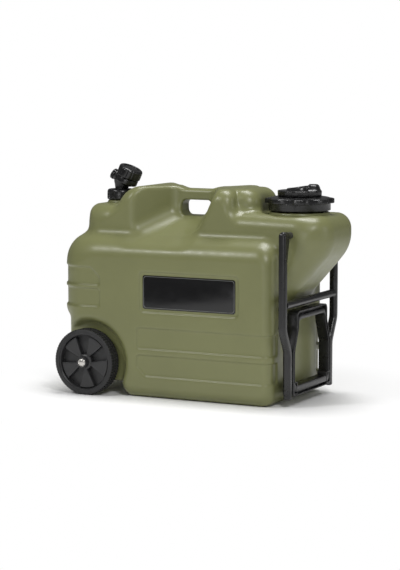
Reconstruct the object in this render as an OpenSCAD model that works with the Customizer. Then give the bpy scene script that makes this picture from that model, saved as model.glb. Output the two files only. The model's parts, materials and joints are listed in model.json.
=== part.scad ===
/* [Tank] */
// Half the width of the lower body
body_half = 115; // [104:1:124]
// Half the width of the upper block with the platforms
deck_half = 82.5; // [72:0.5:89]
// Half the width of the right part of the crown
crown_half = 57; // [48:0.5:66]
// Where the flat end of the lower body lies, to the right of the middle
body_right = 172.4; // [163:0.2:180]
// Where the bulge over the wheels ends, to the left of the middle
body_left = 259; // [251:0.2:266]
// How far the beak under the filler reaches to the right of the middle
beak_right = 259; // [249:0.2:271]
// Height of the shoulder where it meets the upper block
shoulder_z = 288; // [281:1:294]
// Height of the platform under the filler
deck_z = 334; // [329:1:340]
// Height of the two humps beside the carry grip
crown_z = 377; // [370:1:384]
// Thickness of the moulded wall
wall = 3.2; // [2.4:0.1:4]
// Depth of the recessed panels
panel_depth = 2.6; // [1.5:0.1:3.5]

/* [Carry grip] */
// Height of the underside of the grip bar
grip_under_z = 352; // [348:1:357]
// Height of the sill below the grip bar
grip_sill_z = 324; // [317:1:329]
// Thickness of the grip bar from front to back
grip_thick = 32.5; // [27:0.5:38]

/* [Wheels] */
// Diameter over the tyre
wheel_d = 120; // [114:1:124]
// Width of the wheel
wheel_w = 27.2; // [23:0.2:30]
// Distance from the middle of the tank to the outer face of a wheel
track_half = 133.6; // [131:0.2:139]
// Distance of the axle from the middle of the tank
axle_x = 190; // [186:1:193]
// Diameter of the steel axle
axle_d = 10; // [8:0.5:12]
// Thickness of the tyre
tyre_t = 7; // [6:0.5:9]
// Number of raised wedges in the wheel disc
wheel_wedges = 5; // [4:1:6]
// Gap between the tyre and the wheel well
well_gap = 9.5; // [6:0.5:13]

/* [Filler] */
// Distance of the filler from the middle of the tank
filler_x = 177; // [171:1:180]
// Inside diameter of the filler neck
filler_bore = 87.5; // [76:0.5:91]
// Outside diameter of the big cap's skirt
cap_d = 110; // [106:1:114]
// Height of the big cap's skirt
cap_h = 24; // [21:0.5:28]
// Outside diameter of the small cap
lid_d = 76; // [66:0.5:80]
// Rise of a cap in one turn
thread_pitch = 6; // [4:0.5:8]

/* [Tap] */
// Distance of the tap from the middle of the tank
tap_x = 185; // [180:1:188]
// Diameter of the collar nut
collar_d = 50; // [47:0.5:53]
// Height of the collar nut
collar_h = 19.5; // [19:0.5:24]
// Diameter of the upright stem
stem_d = 20; // [17:0.5:23]
// Tilt of the valve barrel from upright
tap_tilt = 24; // [22:1:26]
// Diameter of the tap knob
knob_d = 45; // [40:0.5:47]
// Height of the tap knob
knob_h = 18; // [15:0.5:20]

/* [Pull frame] */
// Thickness of an arm
arm_w = 12.5; // [10:0.5:14]
// Distance from the middle of the tank to the middle of an arm's upper part
arm_y = 111.5; // [108:0.5:114]
// Distance from the middle of the tank to the middle of an arm's lower part
arm_foot_y = 89.2; // [86:0.2:92]
// Distance of the arms from the middle of the tank, to the right
arm_x = 196; // [193:1:201]
// Height of the pivot at the top of the arms
pivot_z = 302; // [296:1:306]
// Height of the crossbar between the arms
crossbar_z = 181; // [179:1:190]
// Diameter of the crossbar
crossbar_d = 13.5; // [11:0.5:15]
// Height of the lower end of the arms
arm_foot_z = 15; // [10:0.5:21]
// Diameter of the pivot pins
pivot_d = 8; // [6:0.5:9]

/* [Grip ring] */
// Depth of the grip ring from front to back
ring_depth = 21; // [17:0.5:25]
// Half the width of the ring's narrow upper part
ring_top_half = 65.5; // [57:0.5:72]
// Half the width of the ring's wide lower part
ring_low_half = 82; // [78:0.2:84]
// Height of the ring's upper edge
ring_top_z = 168; // [162:1:171]
// Height of the ring's lower edge
ring_low_z = 19; // [17:0.5:25]
// Width of the ring's side walls
ring_wall = 8.5; // [7:0.5:11]
// Height of the ring's hinge pins
ring_pin_z = 27.5; // [25:0.5:32]

/* [Label] */
// Width of the bare label plate
label_w = 184; // [171:0.5:190]
// Height of the bare label plate
label_h = 60.5; // [53:0.5:66]
// Thickness of the bare label plate
label_t = 0.8; // [0.5:0.1:1.2]

/* [Hidden] */
$fn = 64;
gap = 0.3; // between pieces that move past each other
fit = 0.05; // radial clearance of a shaft in its hole
olive = [0.44, 0.46, 0.31];
dark = [0.09, 0.09, 0.09];
steel = [0.75, 0.75, 0.76];
seal = [0.25, 0.25, 0.26];

wheel_r = wheel_d / 2;
wheel_z = wheel_r;
wheel_in = track_half - wheel_w;
well_r = wheel_r + well_gap;
well_floor = wheel_in - 8;
neck_r = filler_bore / 2 + 4.5;
neck_top = deck_z + 23;
thread_depth = 1.2;
flange_r = cap_d / 2 + 6.5;
cap_z = deck_z + 6;
tap_deck_z = deck_z + 8.5;
collar_z = tap_deck_z + 5;

// Tools for outlines: a corner is [x, z, radius]

function xy(c) = [c[0], c[1]];
function unit(v) = v / norm(v);
function turn(v, a) = [v[0] * cos(a) - v[1] * sin(a), v[0] * sin(a) + v[1] * cos(a)];
function mix(a, b, t) = a + (b - a) * t;

// Points of the arc that rounds corner b between its neighbours a and c
function corner_arc(a, b, c, steps) =
    let (
        to_a = unit(xy(a) - xy(b)),
        to_c = unit(xy(c) - xy(b)),
        half = acos(to_a * to_c) / 2,
        side = to_a[0] * to_c[1] - to_a[1] * to_c[0] > 0 ? -1 : 1,
        centre = xy(b) + unit(to_a + to_c) * b[2] / sin(half),
        start = xy(b) + to_a * b[2] / tan(half)
    )
    [for (k = [0:steps]) centre + turn(start - centre, side * (180 - 2 * half) * k / steps)];

function outline(corners, steps) =
    let (n = len(corners))
    [for (i = [0:n - 1]) each corner_arc(corners[(i + n - 1) % n], corners[i], corners[(i + 1) % n], steps)];

// The same corners with every side moved inwards by t
function inset(corners, t) =
    let (n = len(corners))
    [for (i = [0:n - 1])
        let (
            b = corners[i],
            into = unit(xy(b) - xy(corners[(i + n - 1) % n])),
            out = unit(xy(corners[(i + 1) % n]) - xy(b)),
            n1 = [-into[1], into[0]],
            n2 = [-out[1], out[0]],
            convex = into[0] * out[1] - into[1] * out[0] > 0,
            p = xy(b) + (n1 + n2) * t / (1 + n1 * n2)
        )
        [p[0], p[1], max(0.8, convex ? b[2] - t : b[2] + t)]];

// A body with two flat sides: the outline "full" in its middle is rounded over to "face" on each side
module slab(full, face, half, t = 0, steps = 5, rings = 5) {
    p = outline(inset(full, t), steps);
    q = outline(inset(face, t), steps);
    n = len(p);
    front = [for (k = [0:rings]) [-1, 90 * k / rings]];
    back = [for (k = [0:rings]) [1, 90 - 90 * k / rings]];
    layers = concat(front, back);
    points = [for (s = layers, i = [0:n - 1])
        let (
            spot = mix(q[i], p[i], sin(s[1])),
            deep = norm(p[i] - q[i]) * (1 - cos(s[1]))
        )
        [spot[0], s[0] * (half - t - deep), spot[1]]];
    last = len(layers) - 1;
    sides = [for (j = [0:last - 1], i = [0:n - 1])
        let (k = (i + 1) % n)
        each [[j * n + i, (j + 1) * n + k, (j + 1) * n + i], [j * n + i, j * n + k, (j + 1) * n + k]]];
    ends = [[for (i = [n - 1:-1:0]) i], [for (i = [0:n - 1]) last * n + i]];
    polyhedron(points, concat(ends, sides), convexity = 8);
}

// Outlines of the tank's blocks, in the middle and on the flat sides

foot_left = 116;
housing_left = body_left - 13.5;
housing_z = 24;
base_round = 21;
end_round = 38;
bulge_round = 55;
bulge_z = 135;

body_full = [
    [-foot_left, 0, 17],
    [body_right, 0, base_round],
    [body_right, shoulder_z, 32],
    [-body_left, shoulder_z, 44],
    [-body_left, bulge_z + 7.5, 23],
    [-housing_left, bulge_z, 5.5],
    [-housing_left, housing_z, 34],
    [-foot_left - 12.5, housing_z, 7.5]
];
body_face = [
    [-foot_left + 9.5, base_round, 7.5],
    [body_right - end_round, base_round, 9.5],
    [body_right - end_round, shoulder_z - 34, 13.5],
    [-body_left + bulge_round, shoulder_z - 38, 28],
    [-body_left + bulge_round, bulge_z + 25, 13.5],
    [-body_left + bulge_round + 2, bulge_z + 4, 4],
    [-body_left + bulge_round + 2, housing_z + 28, 19],
    [-foot_left - 11.5, housing_z + 19, 5.5]
];

deck_left = 223;
underside_x = body_right - 5;
underside_z = 157;
deck_full = [
    [-deck_left, 218, 5],
    [underside_x, underside_z, 11.5],
    [beak_right, shoulder_z, 66],
    [beak_right, deck_z, 27],
    [-deck_left, tap_deck_z, 25]
];
deck_face = [
    [-deck_left + 42, 232, 4],
    [underside_x - 25, underside_z + 48, 9.5],
    [beak_right - 51, shoulder_z - 3, 44],
    [beak_right - 51, deck_z - 27, 9.5],
    [-deck_left + 42, tap_deck_z - 27, 13.5]
];

slope_foot = 171;
crown_left = 142;
crown_right = 124;
grip_left = 63;
grip_right = 23;
grip_dip = 5;
rib_right = 80;

// The wide part of the crown, from the slope behind the tap to the rib beside the scoop
flank_full = [
    [-slope_foot, deck_z - 28, 2],
    [rib_right + 5.5, deck_z - 28, 2],
    [rib_right, crown_z, 19],
    [grip_right, crown_z, 23],
    [grip_right - 17, crown_z - grip_dip, 23],
    [-grip_left + 17, crown_z - grip_dip, 23],
    [-grip_left, crown_z, 23],
    [-crown_left, crown_z, 42]
];
flank_face = [
    [-slope_foot + 17, deck_z - 25, 2],
    [rib_right - 11.5, deck_z - 25, 2],
    [rib_right - 17, crown_z - 25, 11.5],
    [grip_right - 4, crown_z - 27, 10],
    [grip_right - 17, crown_z - 30, 10],
    [-grip_left + 17, crown_z - 30, 10],
    [-grip_left + 4, crown_z - 27, 10],
    [-crown_left + 13.5, crown_z - 28, 24]
];

// The narrower hump between that rib and the filler
crown_full = [
    [grip_right + 12, deck_z - 12, 2],
    [crown_right + 11.5, deck_z - 12, 2],
    [crown_right, crown_z - 0.5, 27],
    [grip_right + 18, crown_z - 0.5, 15]
];
crown_face = [
    [grip_right + 24, deck_z - 8, 2],
    [crown_right - 17, deck_z - 8, 2],
    [crown_right - 25, crown_z - 23, 11.5],
    [grip_right + 30, crown_z - 23, 8]
];

module blocks(t = 0, steps = 5, rings = 5) {
    slab(body_full, body_face, body_half, t, steps, rings);
    slab(deck_full, deck_face, deck_half, t, steps, rings);
    slab(crown_full, crown_face, crown_half, t, steps, rings);
    slab(flank_full, flank_face, deck_half, t, steps, rings);
}

// The hand scoop on one side of the grip bar, grown by t for the inside of the wall
module scoop(t = 0, fn = 24) {
    r = 19;
    front_y = deck_half + 13.5;
    bar_y = grip_thick / 2 + r;
    hull() {
        for (z = [0, 124])
            for (p = [
                [-114 + r, front_y, shoulder_z + r], [34 - r, front_y, shoulder_z + r],
                [-51 + r, bar_y, grip_sill_z - 2 + r], [13.5 - r, bar_y, grip_sill_z - 2 + r]
            ])
                translate([p[0], -p[1], p[2] + z]) sphere(r + t, $fn = fn);
        for (x = [-114 + r, 48 - r])
            translate([x, -front_y, crown_z]) sphere(r + t, $fn = fn);
    }
}

// The hand gap under the grip bar, from one scoop to the other
module hand_gap(t = 0) {
    r = 8.5;
    span = grip_thick / 2 + 13.5;
    hull()
        for (x = [-48, 5.5], z = [grip_sill_z + r, grip_under_z - r])
            translate([x, 0, z]) rotate([90, 0, 0]) cylinder(h = 2 * span, r = r + t, center = true, $fn = 24);
}

// The well round one wheel, with its mouth flared
module wheel_well(t = 0) {
    mouth = body_half + 13.5;
    translate([-axle_x, 0, wheel_z]) rotate([90, 0, 0]) hull() {
        translate([0, 0, well_floor - t]) cylinder(h = 7.5, r = well_r + t, $fn = 48);
        translate([0, 0, body_half + 1]) cylinder(h = mouth - body_half, r = well_r + 6.5 + t, $fn = 48);
    }
}

panel_left = 91;
panels = [[40, 77], [89, 127]];
bulge_panels = [[160, 193], [200, 231]];
bulge_panel_right = 167;

// Boxes with rounded corners through which the recessed panels show
module side_windows(t = 0) {
    for (z = panels)
        hull()
            for (p = [[-panel_left + 5.5, z[0] + 5.5], [-panel_left + 5.5, z[1] - 5.5], [body_right + 7.5, z[0] + 5.5], [body_right + 7.5, z[1] - 5.5]])
                translate([p[0], -body_half - 13.5, p[1]])
                    rotate([-90, 0, 0]) cylinder(h = body_half + 13.5 - 85 + t, r = 5.5 + t, $fn = 16);
    for (z = bulge_panels)
        hull()
            for (p = [[-bulge_panel_right - 5, z[0] + 5], [-bulge_panel_right - 5, z[1] - 5], [-body_left - 7.5, z[0] + 5], [-body_left - 7.5, z[1] - 5]])
                translate([p[0], -body_half - 13.5, p[1]])
                    rotate([-90, 0, 0]) cylinder(h = body_half + 13.5 - 44 + t, r = 5 + t, $fn = 16);
}

module panel_recess(t = 0) {
    difference() {
        side_windows(t);
        slab(body_full, body_face, body_half, panel_depth + t, 4, 4);
    }
}

label_x = 13.5;
label_z = 192;
recess_rim = 6;
module label_recess(t = 0) {
    w = label_w + 2 * recess_rim;
    h = label_h + 2 * recess_rim;
    hull()
        for (x = [-w / 2 + 7.5, w / 2 - 7.5], z = [-h / 2 + 7.5, h / 2 - 7.5])
            translate([label_x + x, -body_half - 1, label_z + z])
                rotate([-90, 0, 0]) cylinder(h = panel_depth + 1 + t, r = 7.5 + t, $fn = 16);
}

// Everything that is pressed into the blocks from outside
module hollows(t = 0) {
    for (side = [0, 1])
        mirror([0, side, 0]) {
            scoop(t);
            wheel_well(t);
            panel_recess(t);
        }
    hand_gap(t);
    label_recess(t);
    translate([filler_x, 0, deck_z - t]) cylinder(h = 2 * cap_h + t, r = flange_r + 3 + t);
}

tunnel_r = axle_d / 2 + 4;
socket_wall = 3.5;
bush_wall = 2;
socket_r = pivot_d / 2 + bush_wall + socket_wall;
head_depth = 10;
socket_out = arm_y - arm_w / 2 - head_depth - gap;
socket_in = deck_half - 13.5;
tap_neck_r = 16;
tap_neck_top = tap_deck_z + 15;
tap_bore_r = 12;

module water_space() {
    difference() {
        blocks(wall, 3, 3);
        hollows(wall);
        translate([-axle_x, 0, wheel_z]) rotate([90, 0, 0]) cylinder(h = 2 * body_half, r = tunnel_r, center = true, $fn = 24);
        for (side = [-1, 1])
            translate([arm_x, side * deck_half, pivot_z])
                rotate([90, 0, 0]) cylinder(h = 2 * (deck_half - socket_in), r = socket_r + 1, center = true, $fn = 24);
    }
}

module shell() {
    difference() {
        blocks();
        hollows();
        water_space();
    }
}

// The tank: moulded shell, necks with their bores, axle tunnel and pivot sockets
module tank() {
    color(olive) difference() {
        union() {
            shell();
            translate([filler_x, 0, deck_z - wall]) cylinder(h = wall + 3, r = neck_r + 5);
            translate([filler_x, 0, deck_z - wall]) cylinder(h = neck_top - deck_z + wall, r = neck_r - thread_depth);
            for (k = [0:1])
                translate([filler_x, 0, neck_top - 4 - k * thread_pitch]) cylinder(h = 2, r = neck_r);
            translate([-tap_x, 0, tap_deck_z - wall]) cylinder(h = tap_neck_top - tap_deck_z + wall, r = tap_neck_r);
            for (side = [-1, 1])
                translate([arm_x, side * (deck_half - 4), pivot_z])
                    rotate([side * -90, 0, 0]) cylinder(h = socket_out - deck_half + 4, r = socket_r);
        }
        translate([filler_x, 0, deck_z - 2 * wall]) cylinder(h = neck_top, d = filler_bore);
        translate([-tap_x, 0, tap_deck_z - 2 * wall]) cylinder(h = 60, r = tap_bore_r);
        translate([-axle_x, 0, wheel_z]) rotate([90, 0, 0]) cylinder(h = 3 * body_half, r = axle_d / 2 + fit, center = true);
        for (side = [-1, 1])
            translate([arm_x, side * (socket_in + 4), pivot_z])
                rotate([side * -90, 0, 0]) cylinder(h = deck_half, r = pivot_d / 2 + bush_wall + fit);
    }
}

// Shapes shared by the small parts

module tube(outer, inner, h) {
    difference() {
        cylinder(h = h, r = outer);
        translate([0, 0, -1]) cylinder(h = h + 2, r = inner);
    }
}

// A flat rectangle with round corners, in exact arcs
module round_rect(w, h, r) {
    square([w - 2 * r, h], center = true);
    square([w, h - 2 * r], center = true);
    for (x = [-w / 2 + r, w / 2 - r], y = [-h / 2 + r, h / 2 - r])
        translate([x, y]) circle(r);
}

module label_plate() {
    color(dark) translate([label_x, -body_half + panel_depth, label_z])
        rotate([90, 0, 0]) linear_extrude(label_t) round_rect(label_w, label_h, 5);
}

// Axle and wheels

hub_stand = 8; // how far the hub stands out of the wheel's face
push_depth = 6.5; // how deep the push cap sits in the hub
hub_len = wheel_w + hub_stand - push_depth - gap;
axle_half = wheel_in + wheel_w + hub_stand - 3.5;
rim_r = wheel_r - tyre_t;
bush_r = axle_d / 2 + 3;
cap_r = bush_r - 0.4;

// Puts a part drawn along +Z on the axle line, y from the middle and pointing outwards
module on_axle(side, y) {
    translate([-axle_x, side * y, wheel_z]) rotate([-side * 90, 0, 0]) children();
}

module axle() {
    color(steel) on_axle(1, -axle_half) cylinder(h = 2 * axle_half, r = axle_d / 2);
}

// One wheel from its inner face at 0 to its outer face at wheel_w, with the hub standing out of it
module wheel_shape() {
    web = 4;
    face_in = wheel_w - 14;
    plate = 9.5;
    plate_r = rim_r - 5.5;
    pitch = 360 / wheel_wedges;
    wedge = pitch * 0.3;
    first_wedge = -12;
    rotate(first_wedge) difference() {
        union() {
            tube(rim_r, rim_r - 4, wheel_w);
            translate([0, 0, face_in - web]) cylinder(h = web, r = rim_r - 2);
            cylinder(h = face_in, r = bush_r + 5);
            cylinder(h = face_in + plate - 1, r = bush_r + 6.5);
            cylinder(h = wheel_w + hub_stand - 1.2, r = bush_r + 1.8);
            for (i = [0:wheel_wedges - 1])
                rotate(i * pitch) {
                    translate([0, -1.5, 3]) cube([rim_r - 2, 3, face_in - web - 2]);
                    intersection() {
                        translate([0, 0, face_in - 1]) cylinder(h = plate + 1, r = plate_r);
                        translate([0, 0, face_in - 1]) linear_extrude(plate + 2)
                            polygon([[0, 0], 2 * turn([plate_r, 0], -wedge), 2 * turn([plate_r, 0], wedge)]);
                    }
                }
        }
        translate([0, 0, -1]) cylinder(h = wheel_w + hub_stand + 2, r = bush_r);
    }
}

module tyre_shape() {
    tread = 1.4;
    edge = 2.5;
    difference() {
        rotate_extrude() polygon([
            [rim_r, 1], [wheel_r - edge, 0], [wheel_r, edge],
            [wheel_r, wheel_w - edge], [wheel_r - edge, wheel_w], [rim_r, wheel_w - 1]
        ]);
        for (k = [1:3])
            translate([0, 0, k * wheel_w / 4 - 0.8]) tube(wheel_r + 2, wheel_r - tread, 1.6);
    }
}

module wheel_front() { color(dark) on_axle(-1, wheel_in) wheel_shape(); }
module wheel_back() { color(dark) on_axle(1, wheel_in) wheel_shape(); }
module tyre_front() { color(seal) on_axle(-1, wheel_in) tyre_shape(); }
module tyre_back() { color(seal) on_axle(1, wheel_in) tyre_shape(); }

module bush_shape() { tube(bush_r, axle_d / 2 + fit, hub_len); }
module bush_front() { color(seal) on_axle(-1, wheel_in) bush_shape(); }
module bush_back() { color(seal) on_axle(1, wheel_in) bush_shape(); }

module washer_shape() { tube(axle_d / 2 + 6, axle_d / 2 + fit, wheel_in - well_floor - gap); }
module washer_front() { color(steel) on_axle(-1, well_floor) washer_shape(); }
module washer_back() { color(steel) on_axle(1, well_floor) washer_shape(); }

// Push cap that holds a wheel on the axle
module hub_cap_shape() {
    difference() {
        union() {
            cylinder(h = push_depth - 1.5, r = cap_r);
            translate([0, 0, push_depth - 1.5]) cylinder(h = 1.5, r1 = cap_r, r2 = cap_r - 2.5);
        }
        translate([0, 0, -1]) cylinder(h = push_depth + 1 - 3.5, r = axle_d / 2);
    }
}
module hub_cap_front() { color(steel) on_axle(-1, wheel_in + wheel_w + hub_stand - push_depth) hub_cap_shape(); }
module hub_cap_back() { color(steel) on_axle(1, wheel_in + wheel_w + hub_stand - push_depth) hub_cap_shape(); }

// Pull frame

bend_top = 92;
bend_low = 53;
arm_path = [[arm_y, pivot_z], [arm_y, bend_top], [arm_foot_y, bend_low], [arm_foot_y, arm_foot_z]];
bar_socket = 6;
bar_peg_r = 4;
ring_pin_d = 6;

// Turns +Z to the direction d of the plane through the arms
module facing(d) { rotate([-atan2(d[0], d[1]), 0, 0]) children(); }

arm_round = 3.5;
arm_flat = arm_w / 2 - arm_round;
arm_section = [
    for (q = [0:3], a = [0:30:90])
        turn([arm_flat, arm_flat] + arm_round * [cos(a), sin(a)], 90 * q)
];

// Leg i of the bent arm
module arm_leg(i) {
    a = arm_path[i];
    b = arm_path[i + 1];
    translate([0, a[0], a[1]]) facing(unit(b - a)) linear_extrude(norm(b - a)) polygon(arm_section);
}

// The rounded bend between two legs, a little fuller than they are
module arm_knuckle(p) {
    fuller = 0.4;
    width = arm_w + 2 * fuller;
    translate([-width / 2, p[0], p[1]]) rotate([0, 90, 0]) cylinder(h = width, d = width);
}

// The arm on the far side, in the plane x = 0
module arm_shape() {
    inner = arm_y - arm_w / 2;
    difference() {
        union() {
            for (i = [0:2]) arm_leg(i);
            for (i = [1:2]) arm_knuckle(arm_path[i]);
            translate([0, inner - head_depth, pivot_z]) rotate([-90, 0, 0]) cylinder(h = head_depth + arm_w - 0.5, r = arm_w / 2 + 0.6);
            rotate([90, 0, 90]) translate([0, 0, -arm_w / 2]) linear_extrude(arm_w)
                polygon([[inner + 2, pivot_z - 64], [inner + 2, pivot_z], [inner - head_depth, pivot_z],
                         [inner - head_depth, pivot_z - 9], [inner, pivot_z - 62]]);
        }
        translate([0, inner - head_depth - 1, pivot_z]) rotate([-90, 0, 0]) cylinder(h = head_depth + 9, r = pivot_d / 2);
        translate([0, inner - 1, crossbar_z]) rotate([-90, 0, 0]) cylinder(h = bar_socket + 1, r = bar_peg_r);
        translate([0, arm_foot_y - arm_w, ring_pin_z]) rotate([-90, 0, 0]) cylinder(h = 2 * arm_w, r = ring_pin_d / 2 + fit);
    }
}

module pull_arm_back() { color(dark) translate([arm_x, 0, 0]) arm_shape(); }
module pull_arm_front() { color(dark) translate([arm_x, 0, 0]) mirror([0, 1, 0]) arm_shape(); }

module crossbar() {
    half = arm_y - arm_w / 2;
    color(dark) translate([arm_x, 0, crossbar_z]) rotate([90, 0, 0]) {
        cylinder(h = 2 * half, d = crossbar_d, center = true);
        cylinder(h = 2 * (half + bar_socket), r = bar_peg_r, center = true);
    }
}

module pivot_pin_shape() {
    out = arm_y - arm_w / 2 + 8;
    translate([arm_x, socket_in + 5, pivot_z]) rotate([-90, 0, 0]) cylinder(h = out - socket_in - 5, r = pivot_d / 2);
}
module pivot_pin_back() { color(steel) pivot_pin_shape(); }
module pivot_pin_front() { color(steel) mirror([0, 1, 0]) pivot_pin_shape(); }

module pivot_bush_shape() {
    translate([arm_x, socket_in + 4.5, pivot_z]) rotate([-90, 0, 0])
        tube(pivot_d / 2 + bush_wall, pivot_d / 2 + fit, socket_out - socket_in - 4.5);
}
module pivot_bush_back() { color(seal) pivot_bush_shape(); }
module pivot_bush_front() { color(seal) mirror([0, 1, 0]) pivot_bush_shape(); }

// Grip ring

ring_front = arm_x + 8;
neck_z = 138;
flare_z = 98;
top_bar = 15.5;
low_bar = 17.5;
lip = 2.5;
groove = 4.5;

function ring_line(t, top, low) = outline([
    [-ring_low_half + t, ring_low_z + low, 7], [ring_low_half - t, ring_low_z + low, 7],
    [ring_low_half - t, flare_z, 30], [ring_top_half - t, neck_z, 30],
    [ring_top_half - t, ring_top_z - top, 9], [-ring_top_half + t, ring_top_z - top, 9],
    [-ring_top_half + t, neck_z, 30], [-ring_low_half + t, flare_z, 30]
], 8);

module ring_sheet(x, depth, t, top, low) {
    translate([x, 0, 0]) rotate([90, 0, 90]) linear_extrude(depth) polygon(ring_line(t, top, low));
}

module grip_ring() {
    back = ring_front - ring_depth;
    color(dark) difference() {
        union() {
            difference() {
                ring_sheet(back, ring_depth, 0, 0, 0);
                ring_sheet(back - 1, ring_depth + 2, ring_wall, top_bar, low_bar);
                difference() {
                    ring_sheet(ring_front - groove, groove + 1, lip, lip, lip);
                    ring_sheet(ring_front - groove - 1, groove + 3, ring_wall - lip, lip + groove, lip + 3);
                }
            }
            for (side = [-1, 1])
                translate([arm_x, side * (ring_low_half - ring_wall - 5), ring_pin_z])
                    rotate([-side * 90, 0, 0]) cylinder(h = ring_wall + 4, r = 7.5);
        }
        for (side = [-1, 1])
            translate([arm_x, side * (ring_low_half - ring_wall - 3), ring_pin_z])
                rotate([-side * 90, 0, 0]) cylinder(h = 20, r = ring_pin_d / 2);
    }
}

module ring_pin_shape() {
    y0 = ring_low_half - ring_wall - 3;
    y1 = arm_foot_y + arm_w / 2 + gap;
    translate([arm_x, y0, ring_pin_z]) rotate([-90, 0, 0]) {
        cylinder(h = y1 - y0, r = ring_pin_d / 2);
        translate([0, 0, y1 - y0]) cylinder(h = 1.6, r1 = 4.8, r2 = 3.8);
    }
}
module ring_pin_back() { color(steel) ring_pin_shape(); }
module ring_pin_front() { color(steel) mirror([0, 1, 0]) ring_pin_shape(); }

// Filler with its two caps

cap_plate = 3.5;
cap_top = cap_z + cap_h;
gasket_t = 2.2;
petals = 8;
notch_r = 20;
notch_in = 6;
lid_neck_r = 31;
lid_bore_r = 26;
lid_neck_h = 9;
lid_z = cap_top + gap;
lid_h = 13.5;

module filler_cap() {
    color(dark) translate([filler_x, 0, 0]) difference() {
        union() {
            translate([0, 0, cap_z]) cylinder(h = cap_h - 1.5, d = cap_d);
            translate([0, 0, cap_top - 1.5]) cylinder(h = 1.5, r1 = cap_d / 2, r2 = cap_d / 2 - 1.5);
            translate([0, 0, cap_top - 11]) cylinder(h = 8.5, r = flange_r);
            translate([0, 0, cap_top - 1]) cylinder(h = lid_neck_h + 1, r = lid_neck_r);
        }
        translate([0, 0, cap_z - 1]) cylinder(h = cap_h + 1 - cap_plate, r = neck_r + 2 * gap);
        translate([0, 0, cap_z]) cylinder(h = 100, r = lid_bore_r);
        for (i = [0:petals - 1])
            rotate(i * 360 / petals) translate([flange_r + notch_r - notch_in, 0, cap_z - 1]) cylinder(h = 2 * cap_h, r = notch_r);
    }
}

module filler_gasket() {
    color(seal) translate([filler_x, 0, cap_top - cap_plate - gap - gasket_t])
        tube(neck_r, lid_bore_r + 3, gasket_t);
}

module filler_lid() {
    lobes = 12;
    rise = 5.5;
    color(dark) translate([filler_x, 0, lid_z]) difference() {
        union() {
            cylinder(h = lid_h - 1.5, d = lid_d);
            translate([0, 0, lid_h - 1.5]) cylinder(h = 1.5, r1 = lid_d / 2, r2 = lid_d / 2 - 1.5);
            translate([0, 0, lid_h - 1]) cylinder(h = rise + 1, r1 = lid_d / 2 - 8, r2 = lid_d / 2 - 12);
        }
        translate([0, 0, -1]) cylinder(h = lid_h + 1 - 3, r = lid_neck_r + 2 * gap);
        for (i = [0:lobes - 1])
            rotate(i * 360 / lobes) translate([lid_d / 2 + 4, 0, -1]) cylinder(h = 40, r = 6.5);
    }
}

module lid_gasket() {
    color(seal) translate([filler_x, 0, cap_top + lid_neck_h + gap]) tube(lid_neck_r - 0.5, lid_bore_r, lid_z + lid_h - 3 - gap - cap_top - lid_neck_h - gap);
}

// Tap: the collar nut holds its flange on the short neck

stem_r = stem_d / 2;
tap_pad = 1.5;
flange_z = tap_neck_top + tap_pad + gap;
flange_t = 2.5;
slip_z = flange_z + flange_t + gap;
slip_t = 1.2;
shoulder_at = slip_z + slip_t + gap;
barrel_z = tap_deck_z + 11.5;
valve_from = 23;
valve_r = 11;
barrel_from = 27.2;
barrel_to = 38;
barrel_r = 20.5;
barrel_bore = 9.5;
spindle_r = 3.5;
knob_from = barrel_to + 1;
stem_top = barrel_z + 34;
stem_bore_top = barrel_z + 24.5;
spout_rise = 24;
spout_from = 28;
spout_r = 7.2;
spout_bore = 3.6;
spout_len = 25.2;

module at_tap(z) { translate([-tap_x, 0, z]) children(); }
module in_barrel(h) { at_tap(barrel_z) rotate([0, tap_tilt, 0]) translate([0, 0, h]) children(); }
module in_spout(h) {
    in_barrel(spout_from) rotate([0, -90 + spout_rise - tap_tilt, 0]) translate([0, 0, h]) children();
}

module tap_collar() {
    ribs = 18;
    color(dark) at_tap(0) difference() {
        union() {
            translate([0, 0, collar_z]) cylinder(h = collar_h, d = collar_d - 2);
            for (i = [0:ribs - 1])
                rotate(i * 360 / ribs) translate([collar_d / 2 - 2, 0, collar_z + 1]) cylinder(h = collar_h - 2, r = 2);
        }
        translate([0, 0, collar_z - 1]) cylinder(h = shoulder_at - collar_z + 1, r = tap_neck_r + 2 * gap);
        translate([0, 0, collar_z]) cylinder(h = 2 * collar_h, r = stem_r + 2 * gap);
    }
}

module tap_gasket() { color(seal) at_tap(tap_neck_top) tube(tap_neck_r - 0.5, tap_bore_r, tap_pad); }
module collar_washer() { color(steel) at_tap(slip_z) tube(tap_neck_r - 0.5, stem_r + gap, slip_t); }

module tap_body() {
    color(dark) difference() {
        union() {
            at_tap(flange_z) cylinder(h = flange_t, r = tap_neck_r - 0.5);
            at_tap(flange_z - 16) cylinder(h = 17, r = tap_bore_r - 2 * gap);
            at_tap(flange_z) cylinder(h = stem_top - flange_z, r = stem_r);
            in_barrel(valve_from) cylinder(h = barrel_to - valve_from, r = valve_r);
            in_barrel(barrel_from) cylinder(h = barrel_to - barrel_from, r = barrel_r);
            in_spout(0) cylinder(h = barrel_r + 0.5, r = spout_r + 1.8);
            in_spout(0) cylinder(h = spout_len, r = spout_r);
        }
        at_tap(flange_z - 20) cylinder(h = stem_bore_top - flange_z + 20, r = 6);
        in_barrel(valve_from - 1.5) translate([-5, 0, 0]) cylinder(h = 5, r = 3.5);
        in_barrel(valve_from + 2.5) cylinder(h = barrel_to - valve_from - 4.3, r = barrel_bore);
        in_barrel(valve_from + 3) cylinder(h = 40, r = spindle_r + fit);
        in_spout(0) cylinder(h = spout_len + 1, r = spout_bore);
    }
}

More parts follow.
